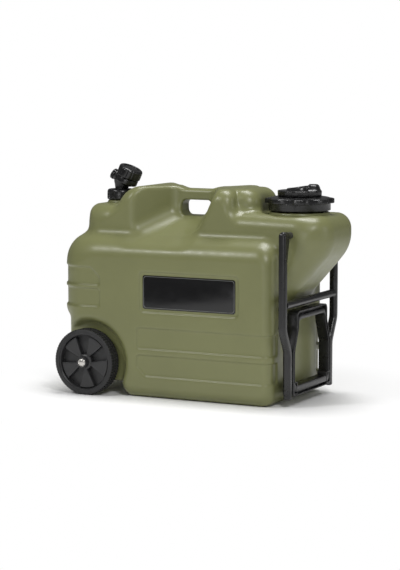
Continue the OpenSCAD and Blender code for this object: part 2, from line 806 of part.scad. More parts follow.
module spout_nozzle() {
    fins = 14;
    from = barrel_r + 0.8;
    color(dark) in_spout(from) difference() {
        union() {
            cylinder(h = spout_len + 7 - from, r = spout_r + 1.2);
            for (i = [0:fins - 1])
                rotate(i * 360 / fins) translate([spout_r + 0.9, 0, 1]) cylinder(h = spout_len + 4 - from, r = 0.9);
        }
        translate([0, 0, -1]) cylinder(h = spout_len - from + 1, r = spout_r);
        translate([0, 0, -1]) cylinder(h = 60, r = 5);
    }
}

module tap_spindle() {
    color(steel) in_barrel(valve_from + 5) cylinder(h = knob_from + knob_h - 7 - valve_from - 5, r = spindle_r);
}

module valve_seal() {
    color(seal) in_barrel(valve_from + 3) difference() {
        cylinder(h = 3, r = barrel_bore - 2 * gap);
        translate([0, 0, 2]) cylinder(h = 5, r = spindle_r);
    }
}

module spindle_ring() {
    color(seal) in_barrel(barrel_to - 6.3) tube(barrel_bore - fit, spindle_r, 2);
}

module tap_knob() {
    scallops = 9;
    color(dark) in_barrel(knob_from) difference() {
        union() {
            cylinder(h = knob_h - 1.2, d = knob_d);
            translate([0, 0, knob_h - 1.2]) cylinder(h = 1.2, r1 = knob_d / 2, r2 = knob_d / 2 - 1.2);
        }
        translate([0, 0, -1]) cylinder(h = knob_h - 6, r = spindle_r + fit);
        translate([0, 0, -1]) tube(knob_d / 2 - 2.5, spindle_r + 4, 9);
        translate([0, 0, knob_h - 2]) cylinder(h = 5, r = knob_d / 2 - 5);
        translate([0, 0, knob_h - 8]) cylinder(h = 10, r = 2);
        for (i = [0:scallops - 1])
            rotate(i * 360 / scallops) translate([knob_d / 2 + 3.5, 0, -1]) cylinder(h = knob_h + 2, r = 5);
    }
}

module knob_screw() {
    color(steel) in_barrel(knob_from + knob_h - 7) {
        cylinder(h = 5, r = 2);
        translate([0, 0, 5]) cylinder(h = 1.6, r = 3.6);
    }
}

tank();
label_plate();
axle();
wheel_front();
tyre_front();
bush_front();
washer_front();
hub_cap_front();
wheel_back();
tyre_back();
bush_back();
washer_back();
hub_cap_back();
pull_arm_front();
pull_arm_back();
crossbar();
pivot_pin_front();
pivot_pin_back();
pivot_bush_front();
pivot_bush_back();
grip_ring();
ring_pin_front();
ring_pin_back();
filler_cap();
filler_gasket();
filler_lid();
lid_gasket();
tap_collar();
tap_gasket();
collar_washer();
tap_body();
tap_spindle();
spindle_ring();
valve_seal();
tap_knob();
knob_screw();
spout_nozzle();
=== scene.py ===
"""Rolling water carrier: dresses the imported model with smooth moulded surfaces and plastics."""
import json
import math

import bmesh
import bpy
import numpy as np
from mathutils import Matrix, Vector


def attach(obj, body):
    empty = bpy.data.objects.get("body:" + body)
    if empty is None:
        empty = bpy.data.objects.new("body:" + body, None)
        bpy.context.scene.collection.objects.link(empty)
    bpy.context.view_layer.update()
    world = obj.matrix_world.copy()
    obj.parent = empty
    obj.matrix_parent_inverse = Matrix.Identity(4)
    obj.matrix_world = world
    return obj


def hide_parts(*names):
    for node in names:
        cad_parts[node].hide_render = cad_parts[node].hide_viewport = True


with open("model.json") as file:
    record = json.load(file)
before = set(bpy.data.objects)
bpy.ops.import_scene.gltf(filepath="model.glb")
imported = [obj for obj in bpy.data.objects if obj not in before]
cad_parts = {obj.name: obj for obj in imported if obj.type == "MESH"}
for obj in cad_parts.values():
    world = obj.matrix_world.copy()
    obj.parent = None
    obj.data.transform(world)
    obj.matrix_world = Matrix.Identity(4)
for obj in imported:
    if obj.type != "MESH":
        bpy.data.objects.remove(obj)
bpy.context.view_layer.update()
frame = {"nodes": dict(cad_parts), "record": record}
nodes = frame["nodes"]
scene = bpy.context.scene

MM = 0.001

# Sizes of the tank, in millimetres, as in the part's source
BODY_HALF = 115.0
DECK_HALF = 82.5
CROWN_HALF = 57.0
BODY_RIGHT = 173.8
BODY_LEFT = 259.0
BEAK_RIGHT = 259.0
SHOULDER_Z = 288.0
DECK_Z = 334.0
TAP_DECK_Z = DECK_Z + 8.5
CROWN_Z = 377.0
PANEL_DEPTH = 2.6
GRIP_UNDER_Z = 352.0
GRIP_SILL_Z = 324.0
GRIP_THICK = 32.5
AXLE_X = -190.0
WHEEL_R = 60.0
WELL_R = 69.5
WELL_FLOOR = 98.4
FILLER_X = 177.0
CAP_R = 55.0
TAP_X = -185.0
ARM_X = 196.0


# Outlines in the plane of X and Z

def unit(v):
    return v / np.linalg.norm(v)


def rounded(corners, steps=10):
    """The closed outline through [x, z, radius] corners, each rounded with an arc."""
    points = []
    count = len(corners)
    for i, corner in enumerate(corners):
        here = np.array(corner[:2], float)
        to_a = unit(np.array(corners[i - 1][:2], float) - here)
        to_c = unit(np.array(corners[(i + 1) % count][:2], float) - here)
        half = math.acos(float(np.clip(to_a @ to_c, -1, 1))) / 2
        radius = corner[2]
        centre = here + unit(to_a + to_c) * radius / math.sin(half)
        start = here + to_a * radius / math.tan(half) - centre
        side = -1 if to_a[0] * to_c[1] - to_a[1] * to_c[0] > 0 else 1
        sweep = side * (math.pi - 2 * half)
        for k in range(steps + 1):
            a = sweep * k / steps
            turn = np.array([[math.cos(a), -math.sin(a)], [math.sin(a), math.cos(a)]])
            points.append(centre + turn @ start)
    return np.array(points)


def signed_distance(points, x, z):
    """Distance to a closed outline on the grid x by z, negative inside."""
    px, pz = np.meshgrid(x, z, indexing="ij")
    best = np.full(px.shape, 1e9)
    crossings = np.zeros(px.shape, int)
    for a, b in zip(points, np.roll(points, -1, axis=0)):
        along = b - a
        length = along @ along
        if length < 1e-9:
            continue
        t = np.clip(((px - a[0]) * along[0] + (pz - a[1]) * along[1]) / length, 0, 1)
        best = np.minimum(best, np.hypot(px - a[0] - t * along[0], pz - a[1] - t * along[1]))
        spans = (a[1] > pz) != (b[1] > pz)
        if spans.any():
            cut = a[0] + (pz - a[1]) * along[0] / (along[1] if along[1] else 1e-9)
            crossings += spans & (px < cut)
    return np.where(crossings % 2 == 1, -best, best)


# Smooth joins of two fields; k is the size of the fillet

def join(a, b, k):
    h = np.maximum(k - np.abs(a - b), 0) / k
    return np.minimum(a, b) - h * h * k / 4


def meet(a, b, k):
    return -join(-a, -b, k)


def cut(a, b, k):
    return meet(a, -b, k)


GRID = 1.8


class Field:
    """A signed distance on a grid: x and z over the whole tank, y from the middle outwards."""

    def __init__(self, grid):
        self.x = np.arange(-BODY_LEFT - 3 * grid, BEAK_RIGHT + 4 * grid, grid)
        self.y = np.arange(-2 * grid, BODY_HALF + 4 * grid, grid)
        self.z = np.arange(-3 * grid, CROWN_Z + 4 * grid, grid)
        self.gx = self.x[:, None, None].astype(np.float32)
        self.gy = np.abs(self.y)[None, :, None].astype(np.float32)
        self.gz = self.z[None, None, :].astype(np.float32)

    def flat(self, corners):
        return signed_distance(rounded(corners), self.x, self.z)[:, None, :].astype(np.float32)

    def slab(self, full, face, half, power=2.0):
        """A block whose middle outline rounds over to its face outline at half the width."""
        outer = self.flat(full)
        inner = self.flat(face)
        band = np.maximum(inner - outer, 4)
        q1 = inner / band
        q2 = (self.gy - half + band) / band
        curve = (np.maximum(q1, 0) ** power + np.maximum(q2, 0) ** power) ** (1 / power)
        return band * (curve - 1 + np.minimum(np.maximum(q1, q2), 0))


FOOT_LEFT = 116.0
HOUSING_LEFT = BODY_LEFT - 13.5
HOUSING_Z = 24.0
BASE_ROUND = 21.0
END_ROUND = 18.0
BULGE_ROUND = 55.0
BULGE_Z = 135.0
UNDERSIDE_X = BODY_RIGHT - 5
UNDERSIDE_Z = 171.0
DECK_LEFT = 223.0
SLOPE_FOOT = 161.0
CROWN_LEFT = 142.0
CROWN_RIGHT = 112.5
GRIP_LEFT = 63.0
GRIP_RIGHT = 23.0
RIB_RIGHT = 80.0

BODY_FULL = [
    [-FOOT_LEFT, 0, 17], [BODY_RIGHT, 0, BASE_ROUND], [BODY_RIGHT, SHOULDER_Z, 32],
    [-BODY_LEFT, SHOULDER_Z, 44], [-BODY_LEFT, BULGE_Z + 7.5, 23], [-HOUSING_LEFT, BULGE_Z, 5.5],
    [-HOUSING_LEFT, HOUSING_Z, 34], [-FOOT_LEFT - 12.5, HOUSING_Z, 7.5],
]
BODY_FACE = [
    [-FOOT_LEFT + 9.5, BASE_ROUND, 7.5], [BODY_RIGHT - END_ROUND, BASE_ROUND, 9.5],
    [BODY_RIGHT - END_ROUND, SHOULDER_Z - 34, 13.5], [-BODY_LEFT + BULGE_ROUND, SHOULDER_Z - 38, 28],
    [-BODY_LEFT + BULGE_ROUND, BULGE_Z + 25, 13.5], [-BODY_LEFT + BULGE_ROUND + 2, BULGE_Z + 4, 4],
    [-BODY_LEFT + BULGE_ROUND + 2, HOUSING_Z + 28, 19], [-FOOT_LEFT - 11.5, HOUSING_Z + 19, 5.5],
]
DECK_FULL = [
    [-DECK_LEFT, 218, 5], [UNDERSIDE_X, UNDERSIDE_Z, 11.5], [BEAK_RIGHT, SHOULDER_Z - 12, 62],
    [BEAK_RIGHT, DECK_Z, 27], [-DECK_LEFT, TAP_DECK_Z, 18],
]
DECK_FACE = [
    [-DECK_LEFT + 42, 232, 4], [UNDERSIDE_X - 25, UNDERSIDE_Z + 48, 9.5],
    [BEAK_RIGHT - 51, SHOULDER_Z - 3, 44], [BEAK_RIGHT - 51, DECK_Z - 27, 9.5],
    [-DECK_LEFT + 42, TAP_DECK_Z - 27, 13.5],
]
FLANK_FULL = [
    [-SLOPE_FOOT, DECK_Z - 28, 2], [RIB_RIGHT + 5.5, DECK_Z - 28, 2], [RIB_RIGHT, CROWN_Z, 19],
    [GRIP_RIGHT, CROWN_Z, 23], [GRIP_RIGHT - 17, CROWN_Z - 5, 23], [-GRIP_LEFT + 17, CROWN_Z - 5, 23],
    [-GRIP_LEFT, CROWN_Z, 23], [-CROWN_LEFT, CROWN_Z, 42],
]
FLANK_FACE = [
    [-SLOPE_FOOT + 17, DECK_Z - 25, 2], [RIB_RIGHT - 11.5, DECK_Z - 25, 2],
    [RIB_RIGHT - 17, CROWN_Z - 25, 11.5],
    [GRIP_RIGHT - 4, CROWN_Z - 27, 10], [GRIP_RIGHT - 17, CROWN_Z - 30, 10],
    [-GRIP_LEFT + 17, CROWN_Z - 30, 10],
    [-GRIP_LEFT + 4, CROWN_Z - 27, 10], [-CROWN_LEFT + 13.5, CROWN_Z - 28, 24],
]
CROWN_FULL = [
    [GRIP_RIGHT + 12, DECK_Z - 12, 2], [CROWN_RIGHT + 11.5, DECK_Z - 12, 2],
    [CROWN_RIGHT, CROWN_Z - 0.5, 27], [GRIP_RIGHT + 18, CROWN_Z - 0.5, 15],
]
CROWN_FACE = [
    [GRIP_RIGHT + 24, DECK_Z - 8, 2], [CROWN_RIGHT - 17, DECK_Z - 8, 2],
    [CROWN_RIGHT - 25, CROWN_Z - 23, 11.5], [GRIP_RIGHT + 30, CROWN_Z - 23, 8],
]

SCOOP_R = 19.0
SCOOP_WIDE = (-117.0, 38.0)
SCOOP_NARROW = (-64.0, 9.0)
SCOOP_LEAN = 0.47
HAND_GAP_X = (-50.0, 10.0)


def plane(field, point, normal):
    n = unit(np.array(normal, float))
    return (field.gx - point[0]) * n[0] + (field.gy - point[1]) * n[1] + (field.gz - point[2]) * n[2]


def scoop(field):
    """The hand scoop: two slanted cheeks, a floor that climbs to the sill, and the bar's face."""
    out_y = DECK_HALF
    in_y = GRIP_THICK / 2
    run = out_y - in_y
    left = plane(field, (SCOOP_NARROW[0], in_y, 0), (-run, SCOOP_WIDE[0] - SCOOP_NARROW[0], 0))
    right = plane(field, (SCOOP_NARROW[1], in_y, 345),
        (run, SCOOP_NARROW[1] - SCOOP_WIDE[1], -SCOOP_LEAN * run))
    floor = plane(field, (0, in_y, GRIP_SILL_Z - 2), (0, SHOULDER_Z + 2 - GRIP_SILL_Z, -run))
    back = in_y - field.gy
    cheeks = meet(left, right, SCOOP_R)
    return meet(meet(cheeks, floor, 1.4 * SCOOP_R), back, 0.5 * SCOOP_R)


def round_box(field, x, z, radius):
    """A window through the tank along Y, with round corners."""
    qx = np.abs(field.gx - (x[0] + x[1]) / 2) - (x[1] - x[0]) / 2 + radius
    qz = np.abs(field.gz - (z[0] + z[1]) / 2) - (z[1] - z[0]) / 2 + radius
    return np.hypot(np.maximum(qx, 0), np.maximum(qz, 0)) + np.minimum(np.maximum(qx, qz), 0) - radius


LABEL_X = 13.5
LABEL_Z = 192.0
LABEL_W = 184.0
LABEL_H = 60.5
RECESS_RIM = 6.0
PANELS = ((40.0, 77.5), (89.3, 126.7))
PANEL_LEFT = -91.0
BULGE_PANELS = ((160.4, 192.9), (199.5, 231.3))
BULGE_PANEL_RIGHT = -166.8
FILLER_RING_R = 53.5
FILLER_MOUTH_R = 44.0
TAP_RING_R = 23.4
TAP_MOUTH_R = 12.0
CAP_HOLLOW_R = CAP_R + 9.5


def tank_fields(grid):
    """The tank's field on both sides: plain on the back, with the label's recess on the front."""
    f = Field(grid)
    body = f.slab(BODY_FULL, BODY_FACE, BODY_HALF, 1.9)
    deck = f.slab(DECK_FULL, DECK_FACE, DECK_HALF)
    crown = f.slab(CROWN_FULL, CROWN_FACE, CROWN_HALF)
    flank = f.slab(FLANK_FULL, FLANK_FACE, DECK_HALF)
    near_top = np.clip((CROWN_Z - 9 - f.gz) / 2, 1, 12)
    upper = join(join(deck, flank, 16), crown, near_top)
    upper = np.maximum(np.maximum(upper, f.gy - DECK_HALF), f.gz - CROWN_Z)
    d = join(body, upper, 18)
    del body, deck, crown, flank, upper

    # The wheel wells, with the sides flowing into them
    reach = np.hypot(f.gx - AXLE_X, f.gz - WHEEL_R)
    flare = np.maximum(f.gy - WELL_FLOOR, 0) * 0.4
    well = meet(reach - WELL_R - flare, WELL_FLOOR - f.gy, 6)
    d = cut(d, well, 10)

    d = cut(d, scoop(f), 8)
    gap = meet(round_box(f, HAND_GAP_X, (GRIP_SILL_Z, GRIP_UNDER_Z), 9), f.gy - 28, 4)
    d = cut(d, gap, 5)

    # The hollow round the big cap
    hollow = meet(np.hypot(f.gx - FILLER_X, f.gy) - CAP_HOLLOW_R, DECK_Z - f.gz, 4)
    d = cut(d, hollow, 8)

    # Recessed panels that wrap round the corners
    skin = d + PANEL_DEPTH
    for low, high in PANELS:
        window = round_box(f, (PANEL_LEFT, BODY_RIGHT + 40), (low, high), 6)
        if low < 60:
            corner = (PANEL_LEFT + 9 - f.gx + low + 9 - f.gz) / math.sqrt(2) - 0.5
            window = meet(window, corner, 3)
        window = meet(window, 84.5 - f.gy, 4)
        d = cut(d, meet(window, -skin, 1.5), 2.2)
    for low, high in BULGE_PANELS:
        window = round_box(f, (-BODY_LEFT - 40, BULGE_PANEL_RIGHT), (low, high), 5)
        if low > 195:
            corner = (f.gx - BULGE_PANEL_RIGHT + 9 + f.gz - high + 9) / math.sqrt(2) - 0.5
            window = meet(window, corner, 3)
        window = meet(window, 43.7 - f.gy, 4)
        d = cut(d, meet(window, -skin, 1.5), 2.2)

    # Filler and tap necks stand on low rings
    ring = np.hypot(f.gx - FILLER_X, f.gy) - FILLER_RING_R
    d = join(d, meet(ring, np.abs(f.gz - DECK_Z + 7) - 10, 1.5), 3)
    d = cut(d, meet(np.hypot(f.gx - FILLER_X, f.gy) - FILLER_MOUTH_R, 290 - f.gz, 1), 1)
    d = join(d, meet(np.hypot(f.gx - TAP_X, f.gy) - TAP_RING_R, np.abs(f.gz - TAP_DECK_Z + 6) - 10,
        1.5), 2)
    d = cut(d, meet(np.hypot(f.gx - TAP_X, f.gy) - TAP_MOUTH_R, 300 - f.gz, 1), 1)

    label = round_box(f, (LABEL_X - LABEL_W / 2 - RECESS_RIM, LABEL_X + LABEL_W / 2 + RECESS_RIM),
                      (LABEL_Z - LABEL_H / 2 - RECESS_RIM, LABEL_Z + LABEL_H / 2 + RECESS_RIM), 8)
    front = cut(d, meet(meet(label, -skin, 1.5), 60 - f.gy, 1), 2.2)
    inner = slice(3, None)
    whole = np.concatenate([front[:, inner][:, ::-1], d[:, 2:]], axis=1)
    y = np.concatenate([-f.y[inner][::-1], f.y[2:]])
    return whole.astype(np.float32), f.x, y, f.z


# Turning a field into a mesh

def sample(field, origin, grid, points):
    """The field at points, between its grid values."""
    q = (points - origin) / grid
    base = np.clip(np.floor(q).astype(int), 0, np.array(field.shape) - 2)
    t = q - base
    total = np.zeros(len(points))
    for dx in (0, 1):
        for dy in (0, 1):
            for dz in (0, 1):
                weight = (t[:, 0] if dx else 1 - t[:, 0]) * (t[:, 1] if dy else 1 - t[:, 1])
                weight = weight * (t[:, 2] if dz else 1 - t[:, 2])
                total += weight * field[base[:, 0] + dx, base[:, 1] + dy, base[:, 2] + dz]
    return total


def surface(field, x, y, z):
    """Quads along the zero surface, with each point pulled onto it."""
    grid = x[1] - x[0]
    origin = np.array([x[0], y[0], z[0]])
    inside = field < 0
    corners = [(a, b, c) for a in (0, 1) for b in (0, 1) for c in (0, 1)]
    shape = tuple(n - 1 for n in field.shape)
    count = np.zeros(shape, np.uint8)
    for a, b, c in corners:
        count += inside[a:a + shape[0], b:b + shape[1], c:c + shape[2]]
    cells = np.argwhere((count > 0) & (count < 8))
    number = np.full(shape, -1, np.int64)
    number[tuple(cells.T)] = np.arange(len(cells))
    total = np.zeros((len(cells), 3))
    hits = np.zeros(len(cells))
    for a, b, c in corners:
        for axis in range(3):
            if (a, b, c)[axis]:
                continue
            step = [a, b, c]
            step[axis] = 1
            v0 = field[cells[:, 0] + a, cells[:, 1] + b, cells[:, 2] + c]
            v1 = field[cells[:, 0] + step[0], cells[:, 1] + step[1], cells[:, 2] + step[2]]
            crossed = (v0 < 0) != (v1 < 0)
            t = np.where(crossed, v0 / np.where(crossed, v0 - v1, 1), 0)
            spot = np.array([a, b, c], float)[None, :].repeat(len(cells), 0)
            spot[:, axis] += t
            total += np.where(crossed[:, None], spot, 0)
            hits += crossed
    points = origin + (cells + total / hits[:, None]) * grid
    for _ in range(2):
        value = sample(field, origin, grid, points)
        slope = np.stack([
            sample(field, origin, grid, points + grid * 0.5 * e) - sample(field, origin, grid,
            points - grid * 0.5 * e)
            for e in np.eye(3)
        ], axis=1) / grid
        size = np.maximum((slope ** 2).sum(1), 0.2)
        move = slope * (value / size)[:, None]
        points = points - np.clip(move, -0.4 * grid, 0.4 * grid)

    quads = []
    for axis in range(3):
        near = [slice(1, n - 1) for n in field.shape]
        far = list(near)
        near[axis] = slice(0, field.shape[axis] - 1)
        far[axis] = slice(1, field.shape[axis])
        change = inside[tuple(near)] != inside[tuple(far)]
        at = np.argwhere(change)
        at += [0 if i == axis else 1 for i in range(3)]
        u, v = [i for i in range(3) if i != axis]
        around = []
        for du, dv in ((-1, -1), (0, -1), (0, 0), (-1, 0)):
            cell = at.copy()
            cell[:, u] += du
            cell[:, v] += dv
            around.append(number[tuple(cell.T)])
        quad = np.stack(around, axis=1)
        outward = inside[tuple(at.T)]
        if axis == 1:
            outward = ~outward
        quad[~outward] = quad[~outward][:, ::-1]
        quads.append(quad)
    return points, np.concatenate(quads)


def mesh_from(name, points, faces, smooth_angle=None):
    """A mesh object from arrays, in metres."""
    mesh = bpy.data.meshes.new(name)
    faces = np.asarray(faces)
    corners = faces.shape[1]
    mesh.vertices.add(len(points))
    mesh.vertices.foreach_set("co", (np.asarray(points) * MM).astype(np.float32).ravel())
    mesh.loops.add(faces.size)
    mesh.loops.foreach_set("vertex_index", faces.astype(np.int32).ravel())
    mesh.polygons.add(len(faces))
    mesh.polygons.foreach_set("loop_start", np.arange(0, faces.size, corners, dtype=np.int32))
    mesh.polygons.foreach_set("use_smooth", np.ones(len(faces), bool))
    mesh.update(calc_edges=True)
    mesh.validate()
    if smooth_angle is not None:
        mesh.set_sharp_from_angle(angle=math.radians(smooth_angle))
    obj = bpy.data.objects.new(name, mesh)
    scene.collection.objects.link(obj)
    return obj


def from_rows(name, rows, matrix=None, smooth_angle=32, closed=True):
    """A skin over rows of points, round each row if closed. First and last rows are capped."""
    rows = [np.asarray(r, float) for r in rows]
    n = len(rows[0])
    bm = bmesh.new()
    made = []
    for row in rows:
        made.append([bm.verts.new(Vector(p) * MM) for p in row])
    span = n if closed else n - 1
    for lower, upper in zip(made, made[1:]):
        for i in range(span):
            k = (i + 1) % n
            bm.faces.new((lower[i], lower[k], upper[k], upper[i]))
    bm.faces.new(reversed(made[0]))
    bm.faces.new(made[-1])
    return finish_bmesh(name, bm, matrix, smooth_angle)


def finish_bmesh(name, bm, matrix=None, smooth_angle=32):
    bmesh.ops.remove_doubles(bm, verts=bm.verts, dist=1e-6)
    bmesh.ops.dissolve_degenerate(bm, edges=bm.edges, dist=1e-7)
    bmesh.ops.recalc_face_normals(bm, faces=bm.faces)
    if matrix is not None:
        bmesh.ops.transform(bm, matrix=matrix, verts=bm.verts)
    mesh = bpy.data.meshes.new(name)
    bm.to_mesh(mesh)
    bm.free()
    for polygon in mesh.polygons:
        polygon.use_smooth = True
    mesh.set_sharp_from_angle(angle=math.radians(smooth_angle))
    obj = bpy.data.objects.new(name, mesh)
    scene.collection.objects.link(obj)
    return obj


def turned_rows(profile, count=96, wave=None):
    """Rows round Z for [radius, height] or [radius, height, wave depth] stops."""
    angles = [2 * math.pi * i / count for i in range(count)]
    rows = []
    for stop in profile:
        depth = stop[2] if len(stop) > 2 else 0
        rows.append([
            ((stop[0] - depth * (wave(a) if depth else 0)) * math.cos(a),
             (stop[0] - depth * (wave(a) if depth else 0)) * math.sin(a), stop[1])
            for a in angles
        ])
    return rows


def turned(name, profile, matrix=None, count=96, wave=None, smooth_angle=32):
    """A solid or a ring turned round Z. The profile runs round the section, closed or not."""
    rows = turned_rows(profile, count, wave)
    closed_loop = profile[0][:2] == profile[-1][:2]
    bm = bmesh.new()
    made = [[bm.verts.new(Vector(p) * MM) for p in row] for row in rows]
    for lower, upper in zip(made, made[1:]):
        for i in range(count):
            k = (i + 1) % count
            bm.faces.new((lower[i], lower[k], upper[k], upper[i]))
    if not closed_loop:
        for row, flip in ((made[0], True), (made[-1], False)):
            if (row[0].co - row[count // 2].co).length > 1e-5:
                bm.faces.new(reversed(row) if flip else row)
    return finish_bmesh(name, bm, matrix, smooth_angle)


def blunt(profile, amount=0.5, steps=3):
    """The same profile with each inner corner rounded by about that much."""
    points = [np.array(p[:2], float) for p in profile]
    closed = bool(np.allclose(points[0], points[-1]))
    if closed:
        points = points[:-1]
    out = []
    n = len(points)
    for i, here in enumerate(points):
        if not closed and i in (0, n - 1):
            out.append(list(here))
            continue
        a = points[i - 1] - here
        b = points[(i + 1) % n] - here
        size = min(amount, 0.45 * np.linalg.norm(a), 0.45 * np.linalg.norm(b))
        a, b = unit(a) * size, unit(b) * size
        for k in range(steps + 1):
            t = k / steps
            out.append(list(here + a * (1 - t) ** 2 + b * t ** 2))
    if closed:
        out.append(list(out[0]))
    return out


def along(direction, origin):
    """The matrix that turns +Z to a direction and moves it to a point in millimetres."""
    turn = Vector((0, 0, 1)).rotation_difference(Vector(direction)).to_matrix().to_4x4()
    return Matrix.Translation(Vector(origin) * MM) @ turn


def dress(obj, body, slot_name, material, *replaced):
    """Puts a finished piece on its body, in place of its CAD nodes."""
    obj.data.materials.clear()
    obj.data.materials.append(material)
    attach(obj, body)
    if replaced:
        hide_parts(*replaced)
    return obj


# Materials

def shader(name, colour, roughness, specular=0.5):
    material = bpy.data.materials.new(name)
    material.use_nodes = True
    tree = material.node_tree
    surface_node = tree.nodes["Principled BSDF"]
    surface_node.inputs["Base Color"].default_value = (*colour, 1)
    surface_node.inputs["Roughness"].default_value = roughness
    surface_node.inputs["Specular IOR Level"].default_value = specular
    return material, tree, surface_node


def noise(tree, scale, detail=3.0, rough=0.55, stretch=None):
    where = tree.nodes.new("ShaderNodeTexCoord")
    node = tree.nodes.new("ShaderNodeTexNoise")
    node.inputs["Scale"].default_value = scale
    node.inputs["Detail"].default_value = detail
    node.inputs["Roughness"].default_value = rough
    if stretch:
        mapping = tree.nodes.new("ShaderNodeMapping")
        mapping.inputs["Scale"].default_value = stretch
        tree.links.new(where.outputs["Object"], mapping.inputs["Vector"])
        tree.links.new(mapping.outputs["Vector"], node.inputs["Vector"])
    else:
        tree.links.new(where.outputs["Object"], node.inputs["Vector"])
    return node


def ramp(tree, source, stops):
    node = tree.nodes.new("ShaderNodeValToRGB")
    tree.links.new(source, node.inputs["Fac"])
    band = node.color_ramp
    while len(band.elements) > 1:
        band.elements.remove(band.elements[-1])
    for i, (place, colour) in enumerate(stops):
        element = band.elements[0] if i == 0 else band.elements.new(place)
        element.position = place
        element.color = (*colour, 1)
    return node


def spread(tree, source, low, high):
    node = tree.nodes.new("ShaderNodeMapRange")
    tree.links.new(source, node.inputs["Value"])
    node.inputs["From Min"].default_value = 0.25
    node.inputs["From Max"].default_value = 0.75
    node.inputs["To Min"].default_value = low
    node.inputs["To Max"].default_value = high
    return node


def bump(tree, surface_node, source, distance, strength=1.0, before=None):
    node = tree.nodes.new("ShaderNodeBump")
    node.inputs["Distance"].default_value = distance
    node.inputs["Strength"].default_value = strength
    tree.links.new(source, node.inputs["Height"])
    if before is not None:
        tree.links.new(before.outputs["Normal"], node.inputs["Normal"])
    tree.links.new(node.outputs["Normal"], surface_node.inputs["Normal"])
    return node


def shade(colour, factor):
    return tuple(min(1, c * factor) for c in colour)


def plastic(name, colour, roughness, grain=900.0, depth=0.00004, spread_by=0.06, specular=0.5,
        mottle=0.12):
    """Moulded plastic: a slow change of tone, a fine skin, and roughness that wanders a little."""
    material, tree, s = shader(name, colour, roughness, specular)
    slow = noise(tree, 9.0, 4.0)
    tone = ramp(tree, slow.outputs["Fac"], [(0.3, shade(colour, 1 - mottle)),
        (0.7, shade(colour, 1 + mottle))])
    tree.links.new(tone.outputs["Color"], s.inputs["Base Color"])
    middle = noise(tree, 60.0, 5.0)
    wander = spread(tree, middle.outputs["Fac"], roughness - spread_by, roughness + spread_by)
    tree.links.new(wander.outputs["Result"], s.inputs["Roughness"])
    waves = noise(tree, 35.0, 2.0)
    first = bump(tree, s, waves.outputs["Fac"], 0.00025, 0.35)
    fine = noise(tree, grain, 2.0)
    bump(tree, s, fine.outputs["Fac"], depth, 0.7, before=first)
    return material


OLIVE = (0.165, 0.172, 0.072)
BLACK = (0.0062, 0.0062, 0.0064)

tank_skin = plastic("tank_skin", OLIVE, 0.35, grain=1100.0, depth=0.00004, mottle=0.05)
black_frame = plastic("black_frame", shade(BLACK, 1.25), 0.30, mottle=0.15)
black_cap = plastic("black_cap", shade(BLACK, 1.1), 0.26, mottle=0.15)
black_tap = plastic("black_tap", BLACK, 0.25, mottle=0.15)
black_wheel = plastic("black_wheel", shade(BLACK, 3.4), 0.45, grain=1500.0, mottle=0.15)
tyre_rubber = plastic("tyre_rubber", shade(BLACK, 2.2), 0.58, grain=1800.0, depth=0.00008, mottle=0.2)
seal_rubber = plastic("seal_rubber", (0.03, 0.03, 0.031), 0.6)
pale_bearing = plastic("grey_bearing", (0.035, 0.035, 0.033), 0.42)
label_film = plastic("label_film", (0.0045, 0.0045, 0.005), 0.2, grain=500.0, depth=0.00001,
    mottle=0.05)
label_line = plastic("label_line", (0.16, 0.165, 0.15), 0.35, mottle=0.05)


def metal(name, colour, roughness):
    """Plated steel with fine marks round and along it."""
    material, tree, s = shader(name, colour, roughness)
    s.inputs["Metallic"].default_value = 1.0
    marks = noise(tree, 220.0, 6.0, 0.7, (1, 1, 1))
    tone = ramp(tree, marks.outputs["Fac"], [(0.3, shade(colour, 0.86)), (0.7, shade(colour, 1.08))])
    tree.links.new(tone.outputs["Color"], s.inputs["Base Color"])
    wander = spread(tree, marks.outputs["Fac"], roughness - 0.07, roughness + 0.1)
    tree.links.new(wander.outputs["Result"], s.inputs["Roughness"])
    bump(tree, s, marks.outputs["Fac"], 0.00003, 0.5)
    return material


plated_steel = metal("plated_steel", (0.60, 0.58, 0.55), 0.26)

SLOT_MATERIALS = {
    "moulded_tank": tank_skin, "bare_label": label_film, "plated_steel": plated_steel,
    "tyre_rubber": tyre_rubber,
    "pale_bearing": pale_bearing, "seal_rubber": seal_rubber, "black_wheel": black_wheel,
    "black_tap": black_tap,
    "black_cap": black_cap, "black_frame": black_frame,
}
slot_of = {part["node"]: part["material_slot"] for part in frame["record"]["subparts"]}
for node_name, node_object in nodes.items():
    for index in range(len(node_object.material_slots)):
        node_object.material_slots[index].material = SLOT_MATERIALS[slot_of[node_name]]


# Camera, floor and lights

camera_data = bpy.data.cameras.new("camera")
camera_data.lens = 126.5
camera_data.sensor_width = 36
camera = bpy.data.objects.new("camera", camera_data)
camera.location = (1.6205, -3.2351, 0.6154)
camera.rotation_euler = (math.radians(90 - 6.6), 0, math.radians(26.9))
scene.collection.objects.link(camera)
scene.camera = camera

scene.view_settings.view_transform = "Standard"


world = bpy.data.worlds.new("studio")
scene.world = world
world.use_nodes = True
sky = world.node_tree
sky.nodes.clear()
ambient = sky.nodes.new("ShaderNodeBackground")
ambient.inputs["Color"].default_value = (1, 1, 1, 1)
ambient.inputs["Strength"].default_value = 0.15
white = sky.nodes.new("ShaderNodeBackground")
white.inputs["Color"].default_value = (1, 1, 1, 1)
white.inputs["Strength"].default_value = 1.0
path_node = sky.nodes.new("ShaderNodeLightPath")
world_mix = sky.nodes.new("ShaderNodeMixShader")
sky.links.new(path_node.outputs["Is Camera Ray"], world_mix.inputs["Fac"])
sky.links.new(ambient.outputs[0], world_mix.inputs[1])
sky.links.new(white.outputs[0], world_mix.inputs[2])
world_out = sky.nodes.new("ShaderNodeOutputWorld")
sky.links.new(world_mix.outputs[0], world_out.inputs["Surface"])

